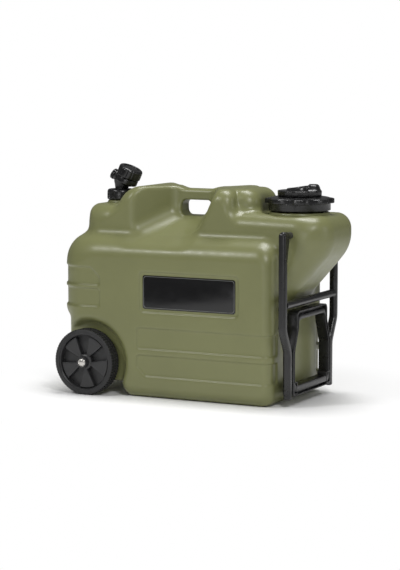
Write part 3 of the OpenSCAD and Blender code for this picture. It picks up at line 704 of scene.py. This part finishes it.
floor_size = 6.0
floor_mesh = bpy.data.meshes.new("floor")
floor_mesh.from_pydata(
    [(-floor_size, -floor_size, 0), (floor_size, -floor_size, 0), (floor_size, floor_size, 0),
    (-floor_size, floor_size, 0)],
    [], [(0, 1, 2, 3)],
)
floor = bpy.data.objects.new("floor", floor_mesh)
scene.collection.objects.link(floor)
floor_material, floor_tree, floor_shader = shader("floor", (0.97, 0.97, 0.97), 0.9, 0.1)
glow = floor_tree.nodes.new("ShaderNodeEmission")
glow.inputs["Color"].default_value = (1, 1, 1, 1)
glow.inputs["Strength"].default_value = 1.0
where = floor_tree.nodes.new("ShaderNodeTexCoord")
length = floor_tree.nodes.new("ShaderNodeVectorMath")
length.operation = "LENGTH"
floor_tree.links.new(where.outputs["Object"], length.inputs[0])
fade = floor_tree.nodes.new("ShaderNodeMapRange")
fade.interpolation_type = "SMOOTHSTEP"
fade.inputs["From Min"].default_value = 0.24
fade.inputs["From Max"].default_value = 0.46
floor_tree.links.new(length.outputs["Value"], fade.inputs["Value"])
seen = floor_tree.nodes.new("ShaderNodeLightPath")
both = floor_tree.nodes.new("ShaderNodeMath")
both.operation = "MULTIPLY"
floor_tree.links.new(fade.outputs["Result"], both.inputs[0])
floor_tree.links.new(seen.outputs["Is Camera Ray"], both.inputs[1])
floor_mix = floor_tree.nodes.new("ShaderNodeMixShader")
floor_tree.links.new(both.outputs[0], floor_mix.inputs["Fac"])
floor_tree.links.new(floor_shader.outputs[0], floor_mix.inputs[1])
floor_tree.links.new(glow.outputs[0], floor_mix.inputs[2])
floor_tree.links.new(floor_mix.outputs[0], floor_tree.nodes["Material Output"].inputs["Surface"])
floor_mesh.materials.append(floor_material)


def area_light(name, place, target, size, power, size_y=None):
    data = bpy.data.lights.new(name, "AREA")
    data.shape = "RECTANGLE"
    data.size = size
    data.size_y = size_y or size
    data.energy = power
    light = bpy.data.objects.new(name, data)
    light.location = place
    light.rotation_euler = (Vector(target) - Vector(place)).to_track_quat("-Z", "Y").to_euler()
    scene.collection.objects.link(light)
    return light


MIDDLE = (0, 0, 0.2)
area_light("key", (-1.2, -1.8, 2.0), MIDDLE, 0.5, 22, 0.5)
area_light("second", (1.5, -1.7, 2.0), MIDDLE, 0.5, 22, 0.5)
area_light("top", (0.1, 0.2, 2.2), MIDDLE, 1.2, 32, 0.6)
area_light("side", (2.3, 0.1, 0.8), MIDDLE, 0.4, 5, 1.2)
area_light("front", (0.5, -2.8, 0.6), MIDDLE, 0.7, 7, 0.7)


# The tank

tank_field = tank_fields(GRID)
tank_points, tank_quads = surface(*tank_field)
tank = mesh_from("tank_shell", tank_points, tank_quads)
dress(tank, "carrier", "moulded_tank", tank_skin, "tank")
del tank_field


# Wheels

WHEEL_W = 27.2
TRACK_HALF = 133.6
WHEEL_IN = TRACK_HALF - WHEEL_W
RIM_R = 53.0
HUB_STAND = 8.0
WEDGES = 5
WEDGE_SPREAD = math.radians(21.2)
HUB_BORE_R = 8.1
TREAD_BLOCKS = 72
FIRST_WEDGE = -12.0
FACE_IN = WHEEL_W - 14
PLATE = 9.5


def turn_points(points, degrees):
    a = math.radians(degrees)
    turn = np.array([[math.cos(a), math.sin(a)], [-math.sin(a), math.cos(a)]])
    return np.asarray(points) @ turn


def level(points, height):
    return np.column_stack([points, np.full(len(points), height)])


def merged(name, objects):
    """One object from several closed shells; the separate ones go."""
    bm = bmesh.new()
    for obj in objects:
        bm.from_mesh(obj.data)
        bpy.data.objects.remove(obj)
    mesh = bpy.data.meshes.new(name)
    bm.to_mesh(mesh)
    bm.free()
    result = bpy.data.objects.new(name, mesh)
    scene.collection.objects.link(result)
    return result


def on_axle(side, y):
    place = Matrix.Translation(Vector((AXLE_X, side * y, WHEEL_R)) * MM)
    return place @ Matrix.Rotation(math.radians(-side * 90), 4, "X")


def wedge_plate(turn):
    """One raised wedge of the wheel disc, its edges rolled over."""
    def shape(inset):
        outer = RIM_R - 5.6 - inset
        shift = inset / math.sin(WEDGE_SPREAD) + 5
        fan = np.linspace(-WEDGE_SPREAD + 0.02, WEDGE_SPREAD - 0.02, 17)
        arc = [(outer * math.cos(a), outer * math.sin(a)) for a in fan]
        low = [(x, max(y, -(x - shift) * math.tan(WEDGE_SPREAD))) for x, y in arc]
        both = [(x, min(y, (x - shift) * math.tan(WEDGE_SPREAD))) for x, y in low]
        tip = shift + 1.5
        width = 1.5 * math.tan(WEDGE_SPREAD)
        return turn_points([(tip, -width)] + both + [(tip, width)], turn)
    top = FACE_IN + PLATE
    stops = [(0.0, FACE_IN - 1), (0.0, top - 1.0), (0.3, top - 0.35), (1.0, top), (2.6, top + 0.05)]
    return from_rows("wedge", [level(shape(inset), z) for inset, z in stops], smooth_angle=40)


def wheel_disc(name, side):
    barrel = turned("barrel", blunt([
        [RIM_R, 0.6], [RIM_R, WHEEL_W - 0.9], [RIM_R - 1.6, WHEEL_W - 0.9],
        [RIM_R - 4.2, WHEEL_W - 3.6], [RIM_R - 4.6, FACE_IN - 4],
        [RIM_R - 4.6, 0.6], [RIM_R, 0.6]], 0.5), count=128)
    web = turned("web", blunt([
        [HUB_BORE_R, FACE_IN - 4], [RIM_R - 3.5, FACE_IN - 4], [RIM_R - 3.5, FACE_IN],
        [HUB_BORE_R, FACE_IN],
        [HUB_BORE_R, FACE_IN - 4]], 0.2), count=128)
    top = FACE_IN + PLATE
    hub_end = WHEEL_W + HUB_STAND - 1.2
    hub = turned("hub", blunt([
        [HUB_BORE_R, 0.3], [13.0, 0.3], [13.0, FACE_IN + 1], [14.2, FACE_IN + 1], [14.2, top - 0.6],
        [12.4, top + 0.5],
        [10.4, top + 1.6], [9.9, hub_end], [HUB_BORE_R, hub_end], [HUB_BORE_R, 0.3]], 0.6), count=96)
    wedges = [wedge_plate(FIRST_WEDGE + i * 360 / WEDGES) for i in range(WEDGES)]
    ribs = []
    for i in range(WEDGES):
        corners = rounded([[11, -1.5, 0.5], [RIM_R - 4, -1.5, 0.5], [RIM_R - 4, 1.5, 0.5],
            [11, 1.5, 0.5]], 3)
        flat = turn_points(corners, FIRST_WEDGE + i * 360 / WEDGES)
        ribs.append(from_rows("rib", [level(flat, 3), level(flat, FACE_IN - 3.5)]))
    disc = merged(name, [barrel, web, hub] + wedges + ribs)
    disc.data.transform(on_axle(side, WHEEL_IN))
    return disc


def tread(a):
    """Tread blocks with narrow gaps between them."""
    phase = (a * TREAD_BLOCKS / (2 * math.pi)) % 1.0
    return 1.0 if phase < 0.26 else 0.0


def tyre(name, side):
    edge = WHEEL_W / 2
    half = [
        [RIM_R - 2.2, edge - 0.7], [RIM_R - 2.2, edge - 0.1], [RIM_R - 1.4, edge],
        [WHEEL_R - 3.1, edge], [WHEEL_R - 2.2, edge - 0.2],
        [WHEEL_R - 1.0, edge - 1.0, 0.5], [WHEEL_R - 0.1, edge - 2.4, 1.3], [WHEEL_R, edge - 4.0, 1.4],
        [WHEEL_R, edge - 8.2, 1.4],
        [WHEEL_R - 1.2, edge - 8.6], [WHEEL_R - 1.3, edge - 10.2], [WHEEL_R, edge - 10.6, 1.4],
    ]
    other = [[p[0], -p[1]] + list(p[2:]) for p in reversed(half)]
    loop = [[p[0], p[1] + edge] + list(p[2:]) for p in half + other]
    loop.append(list(loop[0]))
    return turned(name, loop, on_axle(side, WHEEL_IN), count=576, wave=tread, smooth_angle=35)


def push_cap(name, side):
    end = WHEEL_W + HUB_STAND
    dome = [[7.5, end - 6.5], [7.6, end - 2.4], [7.3, end - 1.5], [6.5, end - 1.1], [5.7, end - 1.5],
        [5.3, end - 1.4]]
    dome += [[5.2 * math.cos(t), end - 1.3 + 1.3 * math.sin(t)] for t in np.linspace(0.15, 1.35, 6)]
    dome += [[0.9, end - 0.05], [0.01, end - 0.1]]
    return turned(name, dome, on_axle(side, WHEEL_IN), count=64, smooth_angle=50)


for side, end_name in ((-1, "front"), (1, "back")):
    body = end_name + "_wheel"
    dress(wheel_disc("wheel_disc_" + end_name, side), body, "black_wheel", black_wheel,
        "wheel_" + end_name)
    dress(tyre("tread_tyre_" + end_name, side), body, "tyre_rubber", tyre_rubber, "tyre_" + end_name)
    dress(push_cap("push_cap_" + end_name, side), "carrier", "plated_steel", plated_steel,
        "hub_cap_" + end_name)


# Pull frame

ARM_W = 13.4
ARM_Y = 111.5
ARM_FOOT_Y = 89.2
ARM_FOOT_Z = 15.0
PIVOT_Z = 302.0
CROSSBAR_Z = 181.5
CROSSBAR_R = 7.0
BEND_TOP = 138.0
BEND_LOW = 96.0


def bent_path(points, radius, steps=9):
    """The open line through the points, its inner ones rounded with arcs."""
    out = [np.array(points[0], float)]
    for a, b, c in zip(points, points[1:], points[2:]):
        here = np.array(b, float)
        to_a = unit(np.array(a, float) - here)
        to_c = unit(np.array(c, float) - here)
        half = math.acos(float(to_a @ to_c)) / 2
        size = radius / math.tan(half)
        for k in range(steps + 1):
            t = k / steps
            out.append(here + to_a * size * (1 - t) ** 2 + to_c * size * t ** 2)
    out.append(np.array(points[-1], float))
    return out


def swept_arm(name, side):
    """The arm as one tube of rounded square section, with a domed top and a blunt foot."""
    half = ARM_W / 2
    section = rounded([[-half, -half, 4.2], [half, -half, 4.2], [half, half, 4.2], [-half, half, 4.2]],
        5)
    line = bent_path([[ARM_Y, PIVOT_Z + 1.0], [ARM_Y, BEND_TOP], [ARM_FOOT_Y, BEND_LOW],
        [ARM_FOOT_Y, ARM_FOOT_Z + 1.5]], 30)
    rows = []
    for k in range(7):
        a = math.pi / 2 * k / 6
        rows.append((line[0] + np.array([0, (half + 0.3) * math.cos(a)]), np.array([0.0, -1.0]),
            max(0.12, math.sin(a))))
    for i, spot in enumerate(line):
        before = line[max(0, i - 1)]
        after = line[min(len(line) - 1, i + 1)]
        rows.append((spot, unit(after - before), 1.0))
    foot = line[-1]
    rows.append((foot + np.array([0, -1.0]), np.array([0.0, -1.0]), 0.96))
    rows.append((foot + np.array([0, -1.5]), np.array([0.0, -1.0]), 0.88))
    skins = []
    for spot, direction, size in rows:
        across = np.array([-direction[1], direction[0]])
        skins.append([
            (ARM_X + p[0] * size, side * (spot[0] + p[1] * size * across[0]),
            spot[1] + p[1] * size * across[1]) for p in section
        ])
    arm = from_rows("arm", skins, smooth_angle=45)
    inner = ARM_Y - half
    place = Matrix.Translation(Vector((ARM_X, 0, PIVOT_Z)) * MM)
    turn = Matrix.Rotation(math.radians(-side * 90), 4, "X")
    head = turned("head", blunt([
        [4.1, inner - 9.9], [6.7, inner - 9.9], [6.7, inner + 4], [4.1, inner + 4],
        [4.1, inner - 9.9]], 0.8),
        place @ turn, count=48)
    web_rows = []
    web_stops = (
        (7, 4.0, 3.4), (6, 6.6, 4.6), (3, 8.8, 5.2), (-8, 9.4, 5.2), (-35, 4.6, 4.6), (-60, 0.6, 4.0))
    for above, reach, thick in web_stops:
        outline = rounded([
            [-thick, inner - reach, 1.5], [thick, inner - reach, 1.5], [thick, inner + 3, 1],
            [-thick, inner + 3, 1]], 4)
        web_rows.append([(ARM_X + p[0], side * p[1], PIVOT_Z + above) for p in outline])
    web = from_rows("web", web_rows)
    return merged(name, [arm, head, web])


for side, end_name in ((-1, "front"), (1, "back")):
    dress(swept_arm("swept_arm_" + end_name, side), "pull_frame", "black_frame", black_frame,
        "pull_arm_" + end_name)

bar_half = ARM_Y - ARM_W / 2 + 0.4
bar_profile = [[0.01, -bar_half]]
for stop, swell in ((0, 0.7), (2, 0.6), (5, 0.2), (9, 0)):
    bar_profile.append([CROSSBAR_R + swell, stop - bar_half])
for stop, swell in ((9, 0), (5, 0.2), (2, 0.6), (0, 0.7)):
    bar_profile.append([CROSSBAR_R + swell, bar_half - stop])
bar_profile.append([0.01, bar_half])
bar_place = Matrix.Translation(Vector((ARM_X, 0, CROSSBAR_Z)) * MM)
bar_turn = Matrix.Rotation(math.radians(90), 4, "X")
crossbar = turned("turned_crossbar", bar_profile, bar_place @ bar_turn, count=64, smooth_angle=40)
dress(crossbar, "pull_frame", "black_frame", black_frame, "crossbar")


# Grip ring

RING_FRONT = ARM_X + 8
RING_BACK = RING_FRONT - 21
RING_GROOVE = 8.0
TAB_Y = (64.5, 79.5)
TAB_Z = (21.5, 43.9)
RING_TOP_HALF = 65.5
RING_LOW_HALF = 82.0
RING_TOP_Z = 168.0
RING_LOW_Z = 19.0
NECK_Z = 138.0
FLARE_Z = 98.0


def ring_loop(x, t, top=None, low=None):
    top = t if top is None else top
    low = t if low is None else low
    line = rounded([
        [-RING_LOW_HALF + t, RING_LOW_Z + low, 7], [RING_LOW_HALF - t, RING_LOW_Z + low, 7],
        [RING_LOW_HALF - t, FLARE_Z, 30],
        [RING_TOP_HALF - t, NECK_Z, 30], [RING_TOP_HALF - t, RING_TOP_Z - top, 9],
        [-RING_TOP_HALF + t, RING_TOP_Z - top, 9],
        [-RING_TOP_HALF + t, NECK_Z, 30], [-RING_LOW_HALF + t, FLARE_Z, 30]], 9)
    return [(x, p[0], p[1]) for p in line]


def skin_rows(bm, rows, cyclic):
    made = [[bm.verts.new(Vector(p) * MM) for p in row] for row in rows]
    pairs = list(zip(made, made[1:]))
    if cyclic:
        pairs.append((made[-1], made[0]))
    n = len(rows[0])
    for lower, upper in pairs:
        for i in range(n):
            k = (i + 1) % n
            bm.faces.new((lower[i], lower[k], upper[k], upper[i]))
    if not cyclic:
        bm.faces.new(reversed(made[0]))
        bm.faces.new(made[-1])


def tab_loop(side, inset, x):
    """A slotted tab in a lower corner of the ring's hole."""
    inner, outer = TAB_Y[0] + inset, TAB_Y[1] - inset
    low, high = TAB_Z[0] + inset, TAB_Z[1] - inset
    corner = max(0.6, 3.0 - inset)
    line = rounded([[inner, low, 0.8], [outer, low, 0.8], [outer, high, 0.8], [inner, high, corner]], 6)
    return [(x, side * p[0], p[1]) for p in line]


def ring_body():
    bm = bmesh.new()
    b, f = RING_BACK, RING_FRONT
    stops = [
        (b + 1.2, 0), (b + 0.35, 0.35), (b, 1.2), (b, 4), (b, 7.3, 14.3, 16.3),
        (b + 0.35, 8.15, 15.15, 17.15), (b + 1.2, 8.5, 15.5, 17.5),
        (f - 1.6, 8.5, 15.5, 17.5), (f - 0.9, 8.3, 15.3, 17.2), (f - 0.6, 7.7, 14.6, 16.5),
        (f - 0.6, 7.1, 8.9, 7.3), (f - 0.9, 6.7, 8.3, 6.8),
        (f - 1.4, 6.5, 8.0, 6.5), (f - RING_GROOVE + 0.3, 6.4, 7.9, 6.4),
        (f - RING_GROOVE, 6.0, 7.5, 6.0), (f - RING_GROOVE, 2.8),
        (f - RING_GROOVE + 0.3, 2.4), (f - 0.6, 2.2), (f - 0.1, 1.9),
        (f, 1.7), (f, 0.7), (f - 0.25, 0.2), (f - 0.8, 0),
    ]
    skin_rows(bm, [ring_loop(*stop) for stop in stops], True)
    for side in (-1, 1):
        skin_rows(bm, [tab_loop(side, inset, x) for inset, x in (
            (0, b + 2), (0, f - 0.9), (0.2, f - 0.3), (0.8, f), (1.7, f), (2.2, f - 0.4),
            (2.4, f - 4.6), (2.8, f - 5))], False)
    latch = rounded([[-9, 164, 1], [9, 164, 1], [6.4, 168.9, 1.6], [-6.4, 168.9, 1.6]], 5)
    latch_stops = ((b + 2, 0.9, 0.8), (b + 3, 1, 0), (f - 5, 1, 0), (f - 4, 0.9, 0.8))
    skin_rows(bm, [[(x, p[0] * k, p[1] - d) for p in latch] for x, k, d in latch_stops], False)
    return finish_bmesh("grip_ring_moulded", bm, None, 38)


dress(ring_body(), "ring", "black_frame", black_frame, "grip_ring")


# Big cap

CAP_Z = DECK_Z + 6
CAP_H = 24.0
CAP_TOP = CAP_Z + CAP_H


def notch(a):
    """How far the flange is pressed in at this angle, for eight round notches."""
    step = math.pi / 4
    away = abs((a + step / 2) % step - step / 2)
    reach = math.radians(14.5)
    if away >= reach:
        return 0.0
    t = away / reach
    return (1 - t * t) ** 0.75 if t < 1 else 0.0


def cap_shape():
    skirt = [
        [48.8, CAP_Z + 0.1], [53.9, CAP_Z], [54.7, CAP_Z + 0.4], [55, CAP_Z + 1.2],
        [55, CAP_TOP - 12.2],
        [55.4, CAP_TOP - 11.6], [60.6, CAP_TOP - 11, 5.5], [61.3, CAP_TOP - 10.5, 6.2],
        [61.5, CAP_TOP - 9.7, 6.4],
        [61.5, CAP_TOP - 4.6, 6.4], [61.2, CAP_TOP - 3.6, 6.2], [60.3, CAP_TOP - 3.0, 5.8],
        [57.5, CAP_TOP - 2.4, 3.4], [54.5, CAP_TOP - 1.9, 1.0],
        [50.5, CAP_TOP - 0.9], [46, CAP_TOP - 0.2], [42, CAP_TOP], [31, CAP_TOP], [30.9, CAP_TOP + 9],
        [26.2, CAP_TOP + 9],
        [26.2, CAP_TOP - 3.5], [48.8, CAP_TOP - 3.5], [48.8, CAP_Z + 0.1],
    ]
    return turned("filler_cap_moulded", skirt, Matrix.Translation(Vector((FILLER_X, 0, 0)) * MM),
        count=384, wave=notch, smooth_angle=36)


dress(cap_shape(), "big_cap", "black_cap", black_cap, "filler_cap")


# Small cap: a disc with an S-shaped grip that ends in a high lobe

LID_Z = CAP_TOP + 0.3
GRIP_TURN = math.radians(26.6)


def smooth(low, high, value):
    t = min(1.0, max(0.0, (value - low) / (high - low)))
    return t * t * (3 - 2 * t)


def lid_height(r, a):
    """Height of the small cap's top, from its base."""
    u = r * math.cos(a - GRIP_TURN)
    v = r * math.sin(a - GRIP_TURN)
    rim = 1 - smooth(2.4, 5.0, abs(r - 19.5))
    ridge = rim * (3.5 + 4.5 * smooth(-15, 25, u))
    lobe = smooth(9, 19, u) * (1 - smooth(14, 22, abs(v))) * (1 - smooth(33, 38.5, r))
    button = 2.4 * (1 - smooth(3.4, 5.2, r))
    return 10.5 + max(ridge, 10.2 * lobe, button)


def lid_shape():
    count = 144
    angles = [2 * math.pi * i / count for i in range(count)]

    def lobed(r, a, inner):
        return r - (0.7 * (0.5 + 0.5 * math.cos(12 * a)) if r > inner else 0)

    rows = []
    outside = [(31.8, 0.4), (37.7, 0.2), (38.7, 0.6), (39.2, 1.6)]
    for r, z in outside:
        rows.append([(lobed(r, a, 36) * math.cos(a), lobed(r, a, 36) * math.sin(a), z) for a in angles])
    rim = [(39.4, 1.6), (39.5, 0.9), (39.1, 0.3), (38.1, 0.0), (36.4, 0.0), (34.6, 0), (32.4, 0),
        (30, 0), (28, 0), (26, 0), (24.6, 0), (23.4, 0),
           (22.4, 0), (21.4, 0), (20, 0), (18.6, 0), (17.6, 0), (16.6, 0), (15.6, 0), (14.4, 0),
           (12.5, 0), (10, 0), (8, 0), (6.4, 0), (5.2, 0),
           (4.4, 0), (3.6, 0), (2.4, 0), (1.2, 0)]
    for r, drop in rim:
        row = []
        for a in angles:
            use = lobed(r, a, 36.4)
            row.append((use * math.cos(a), use * math.sin(a), lid_height(min(r, 38.6), a) - drop * 1.4))
        rows.append(row)
    top = rows[-1]
    centre = sum(p[2] for p in top) / count
    rows.append([(0.2 * math.cos(a), 0.2 * math.sin(a), centre) for a in angles])
    for r in (0.2, 31.8):
        rows.append([(r * math.cos(a), r * math.sin(a), LID_TOP_UNDER) for a in angles])
    bm = bmesh.new()
    skin_rows(bm, rows, True)
    return finish_bmesh("filler_lid_moulded", bm,
        Matrix.Translation(Vector((FILLER_X, 0, LID_Z)) * MM), 42)


LID_TOP_UNDER = 8.6
dress(lid_shape(), "small_cap", "black_cap", black_cap, "filler_lid")


# Tap

COLLAR_Z = TAP_DECK_Z + 5
BARREL_Z = TAP_DECK_Z + 11.5
TILT = math.radians(24)
AXIS = np.array([math.sin(TILT), 0, math.cos(TILT)])
KNOB_H = 18.0
KNOB_GROOVES = 14
NOZZLE_FINS = 22
COLLAR_RIBS = 36
KNOB_FROM = 39.0
SPOUT_RISE = math.radians(30)
SPOUT_AXIS = np.array([-math.cos(SPOUT_RISE), 0, math.sin(SPOUT_RISE)])


def in_barrel(h):
    return np.array([TAP_X, 0, BARREL_Z]) + AXIS * h


def in_spout(h):
    return in_barrel(28) + SPOUT_AXIS * h


def leaning(axis, origin):
    """Like along(), with the piece's Y kept on the world's Y."""
    side = np.cross([0, 1, 0], axis)
    turn = Matrix(((side[0], 0, axis[0]), (side[1], 1, axis[1]), (side[2], 0, axis[2]))).to_4x4()
    return Matrix.Translation(Vector(origin) * MM) @ turn


def collar_ribs(a):
    """Ribs on the two sides of the collar, smooth towards front and back."""
    flank = smooth(0.25, 0.5, abs(math.cos(a - 0.45)))
    return flank * (1.0 if (a * COLLAR_RIBS / (2 * math.pi)) % 1.0 < 0.42 else 0.0)


collar = turned("collar_moulded", [
    [20.2, COLLAR_Z + 0.4], [23.6, COLLAR_Z + 0.1], [24.6, COLLAR_Z + 0.9], [24.9, COLLAR_Z + 2.2],
    [24.9, COLLAR_Z + 2.8, 0.9], [24.9, COLLAR_Z + 8, 0.9],
    [24.7, COLLAR_Z + 14.4, 0.9], [24.5, COLLAR_Z + 15.0], [24.2, COLLAR_Z + 16.4],
    [23.3, COLLAR_Z + 17.9], [21.8, COLLAR_Z + 18.9], [19.6, COLLAR_Z + 19.4],
    [12.4, COLLAR_Z + 19.5], [11.4, COLLAR_Z + 19.1], [11.2, COLLAR_Z + 18.0], [11.2, COLLAR_Z + 16.2],
    [20.2, COLLAR_Z + 16.0], [20.2, COLLAR_Z + 0.4]],
    Matrix.Translation(Vector((TAP_X, 0, 0)) * MM), count=216, wave=collar_ribs, smooth_angle=38)
dress(collar, "collar", "black_tap", black_tap, "tap_collar")

STEM_TOP = BARREL_Z + 33.5
FLANGE_Z = TAP_DECK_Z + 15 + 1.8
stem = turned("stem", [[6, FLANGE_Z - 15.8], [11.3, FLANGE_Z - 15.8], [11.3, FLANGE_Z],
    [15.4, FLANGE_Z], [15.4, FLANGE_Z + 2.4], [10.6, FLANGE_Z + 2.6],
                       [10.6, FLANGE_Z + 6.2], [10.3, FLANGE_Z + 8.2], [9.9, FLANGE_Z + 10.5],
                       [9.8, FLANGE_Z + 14], [9.8, STEM_TOP - 4], [9.2, STEM_TOP - 1.6],
                       [7.2, STEM_TOP], [0.01, STEM_TOP], [0.01, FLANGE_Z + 4], [6, FLANGE_Z + 4],
                       [6, FLANGE_Z - 15.8]],
              Matrix.Translation(Vector((TAP_X, 0, 0)) * MM), count=72, smooth_angle=36)
barrel = turned("barrel", [[0.01, 23.4], [11.6, 23.4], [12.4, 23.8], [12.8, 24.6], [19.6, 27.0],
    [20.3, 27.8], [20.5, 29.2], [20.4, 36.4], [19.8, 37.4],
                           [18.6, 38.0], [3.6, 38.0], [3.6, 24.5], [0.01, 24.5]],
                           leaning(AXIS, in_barrel(0)), count=96, smooth_angle=36)
gusset_rows = []
for h, wide, tall in ((-2.0, 8.6, 9.5), (7.0, 8.9, 9.2), (14.0, 9.0, 9.0), (21.0, 9.0, 9.0)):
    spot = in_spout(h)
    outline = rounded([[-wide, -tall, 7.5], [wide, -tall, 7.5], [wide, tall, 7.5], [-wide, tall, 7.5]],
        8)
    side_axis = np.cross(SPOUT_AXIS, [0, 1, 0])
    gusset_rows.append([tuple(spot + side_axis * p[1] + np.array([0, p[0], 0])) for p in outline])
gusset = from_rows("gusset", gusset_rows)
saddle_rows = []
for z, x0, x1, w in ((366.5, -194.6, -172.5, 9.6), (371.5, -194.8, -169.0, 10.2),
        (376.0, -194.8, -165.6, 11.4), (380.5, -195.0, -162.0, 13.0), (385.0, -194.6, -160.0, 14.0)):
    outline = rounded([[x0, -w, 8], [x1, -w, 8], [x1, w, 8], [x0, w, 8]], 8)
    saddle_rows.append([(p[0], p[1], z) for p in outline])
saddle = from_rows("saddle", saddle_rows, smooth_angle=45)
dress(merged("tap_body_moulded", [stem, barrel, gusset, saddle]), "tap", "black_tap", black_tap,
    "tap_body")


def fins(a):
    return 1.0 if (a * NOZZLE_FINS / (2 * math.pi)) % 1.0 < 0.4 else 0.0


nozzle = turned("nozzle_moulded", [
    [5.0, 20.4], [8.4, 20.3], [8.7, 21.0], [8.8, 24.8], [9.6, 25.1], [10.0, 25.7, 0.8],
    [10.1, 29.9, 0.8], [9.9, 30.6], [9.3, 31.2],
    [8.0, 31.4], [7.4, 31.0], [5.2, 27.5], [5.0, 26.8], [5.0, 20.4]], leaning(SPOUT_AXIS, in_spout(0)),
    count=176, wave=fins, smooth_angle=38)
dress(nozzle, "tap", "black_tap", black_tap, "spout_nozzle")


def knob_grooves(a):
    step = 2 * math.pi / KNOB_GROOVES
    away = abs((a + step / 2) % step - step / 2) / step
    return max(0.0, 1 - (away / 0.2) ** 2)


knob = turned("knob_moulded", [
    [17.5, 0.4], [21.6, 0.2], [22.2, 0.8], [22.4, 2.0, 0.4], [22.5, 4.0, 0.7],
    [22.5, KNOB_H - 4.4, 0.7], [22.2, KNOB_H - 2.8, 0.5], [21.2, KNOB_H - 1.2, 0.3],
    [19.6, KNOB_H - 0.3], [17.8, KNOB_H], [15.4, KNOB_H - 0.1], [14.8, KNOB_H - 0.5],
    [14.6, KNOB_H - 1.6], [13.8, KNOB_H - 1.9], [13.2, KNOB_H - 1.3],
    [12.6, KNOB_H - 0.8], [8, KNOB_H - 0.5], [0.01, KNOB_H - 0.4], [0.01, KNOB_H - 6],
    [3.6, KNOB_H - 6.2], [3.6, 0.6], [7.4, 0.6], [7.4, 8.5], [17.5, 8.5], [17.5, 0.4]],
    leaning(AXIS, in_barrel(KNOB_FROM)), count=224, wave=knob_grooves, smooth_angle=40)
dress(knob, "knob", "black_tap", black_tap, "tap_knob", "knob_screw")


# Bare label plate with a thin raised line round its edge

def plate_loop(inset, y):
    w, h = LABEL_W / 2 - inset, LABEL_H / 2 - inset
    line = rounded([[LABEL_X - w, LABEL_Z - h, 5], [LABEL_X + w, LABEL_Z - h, 5],
        [LABEL_X + w, LABEL_Z + h, 5], [LABEL_X - w, LABEL_Z + h, 5]], 8)
    return [(p[0], y, p[1]) for p in line]


label_back = -BODY_HALF + PANEL_DEPTH
label_front = label_back - 0.8
plate = from_rows("label_plate_bare", [plate_loop(0, label_back), plate_loop(0, label_front + 0.25),
    plate_loop(0.3, label_front)])
dress(plate, "carrier", "bare_label", label_film, "label_plate")
bm = bmesh.new()
skin_rows(bm, [plate_loop(1.9, label_front + 0.2), plate_loop(1.9, label_front - 0.05),
    plate_loop(2.5, label_front - 0.05), plate_loop(2.5, label_front + 0.2)], True)
dress(finish_bmesh("label_edge_line", bm), "carrier", "bare_label", label_line)
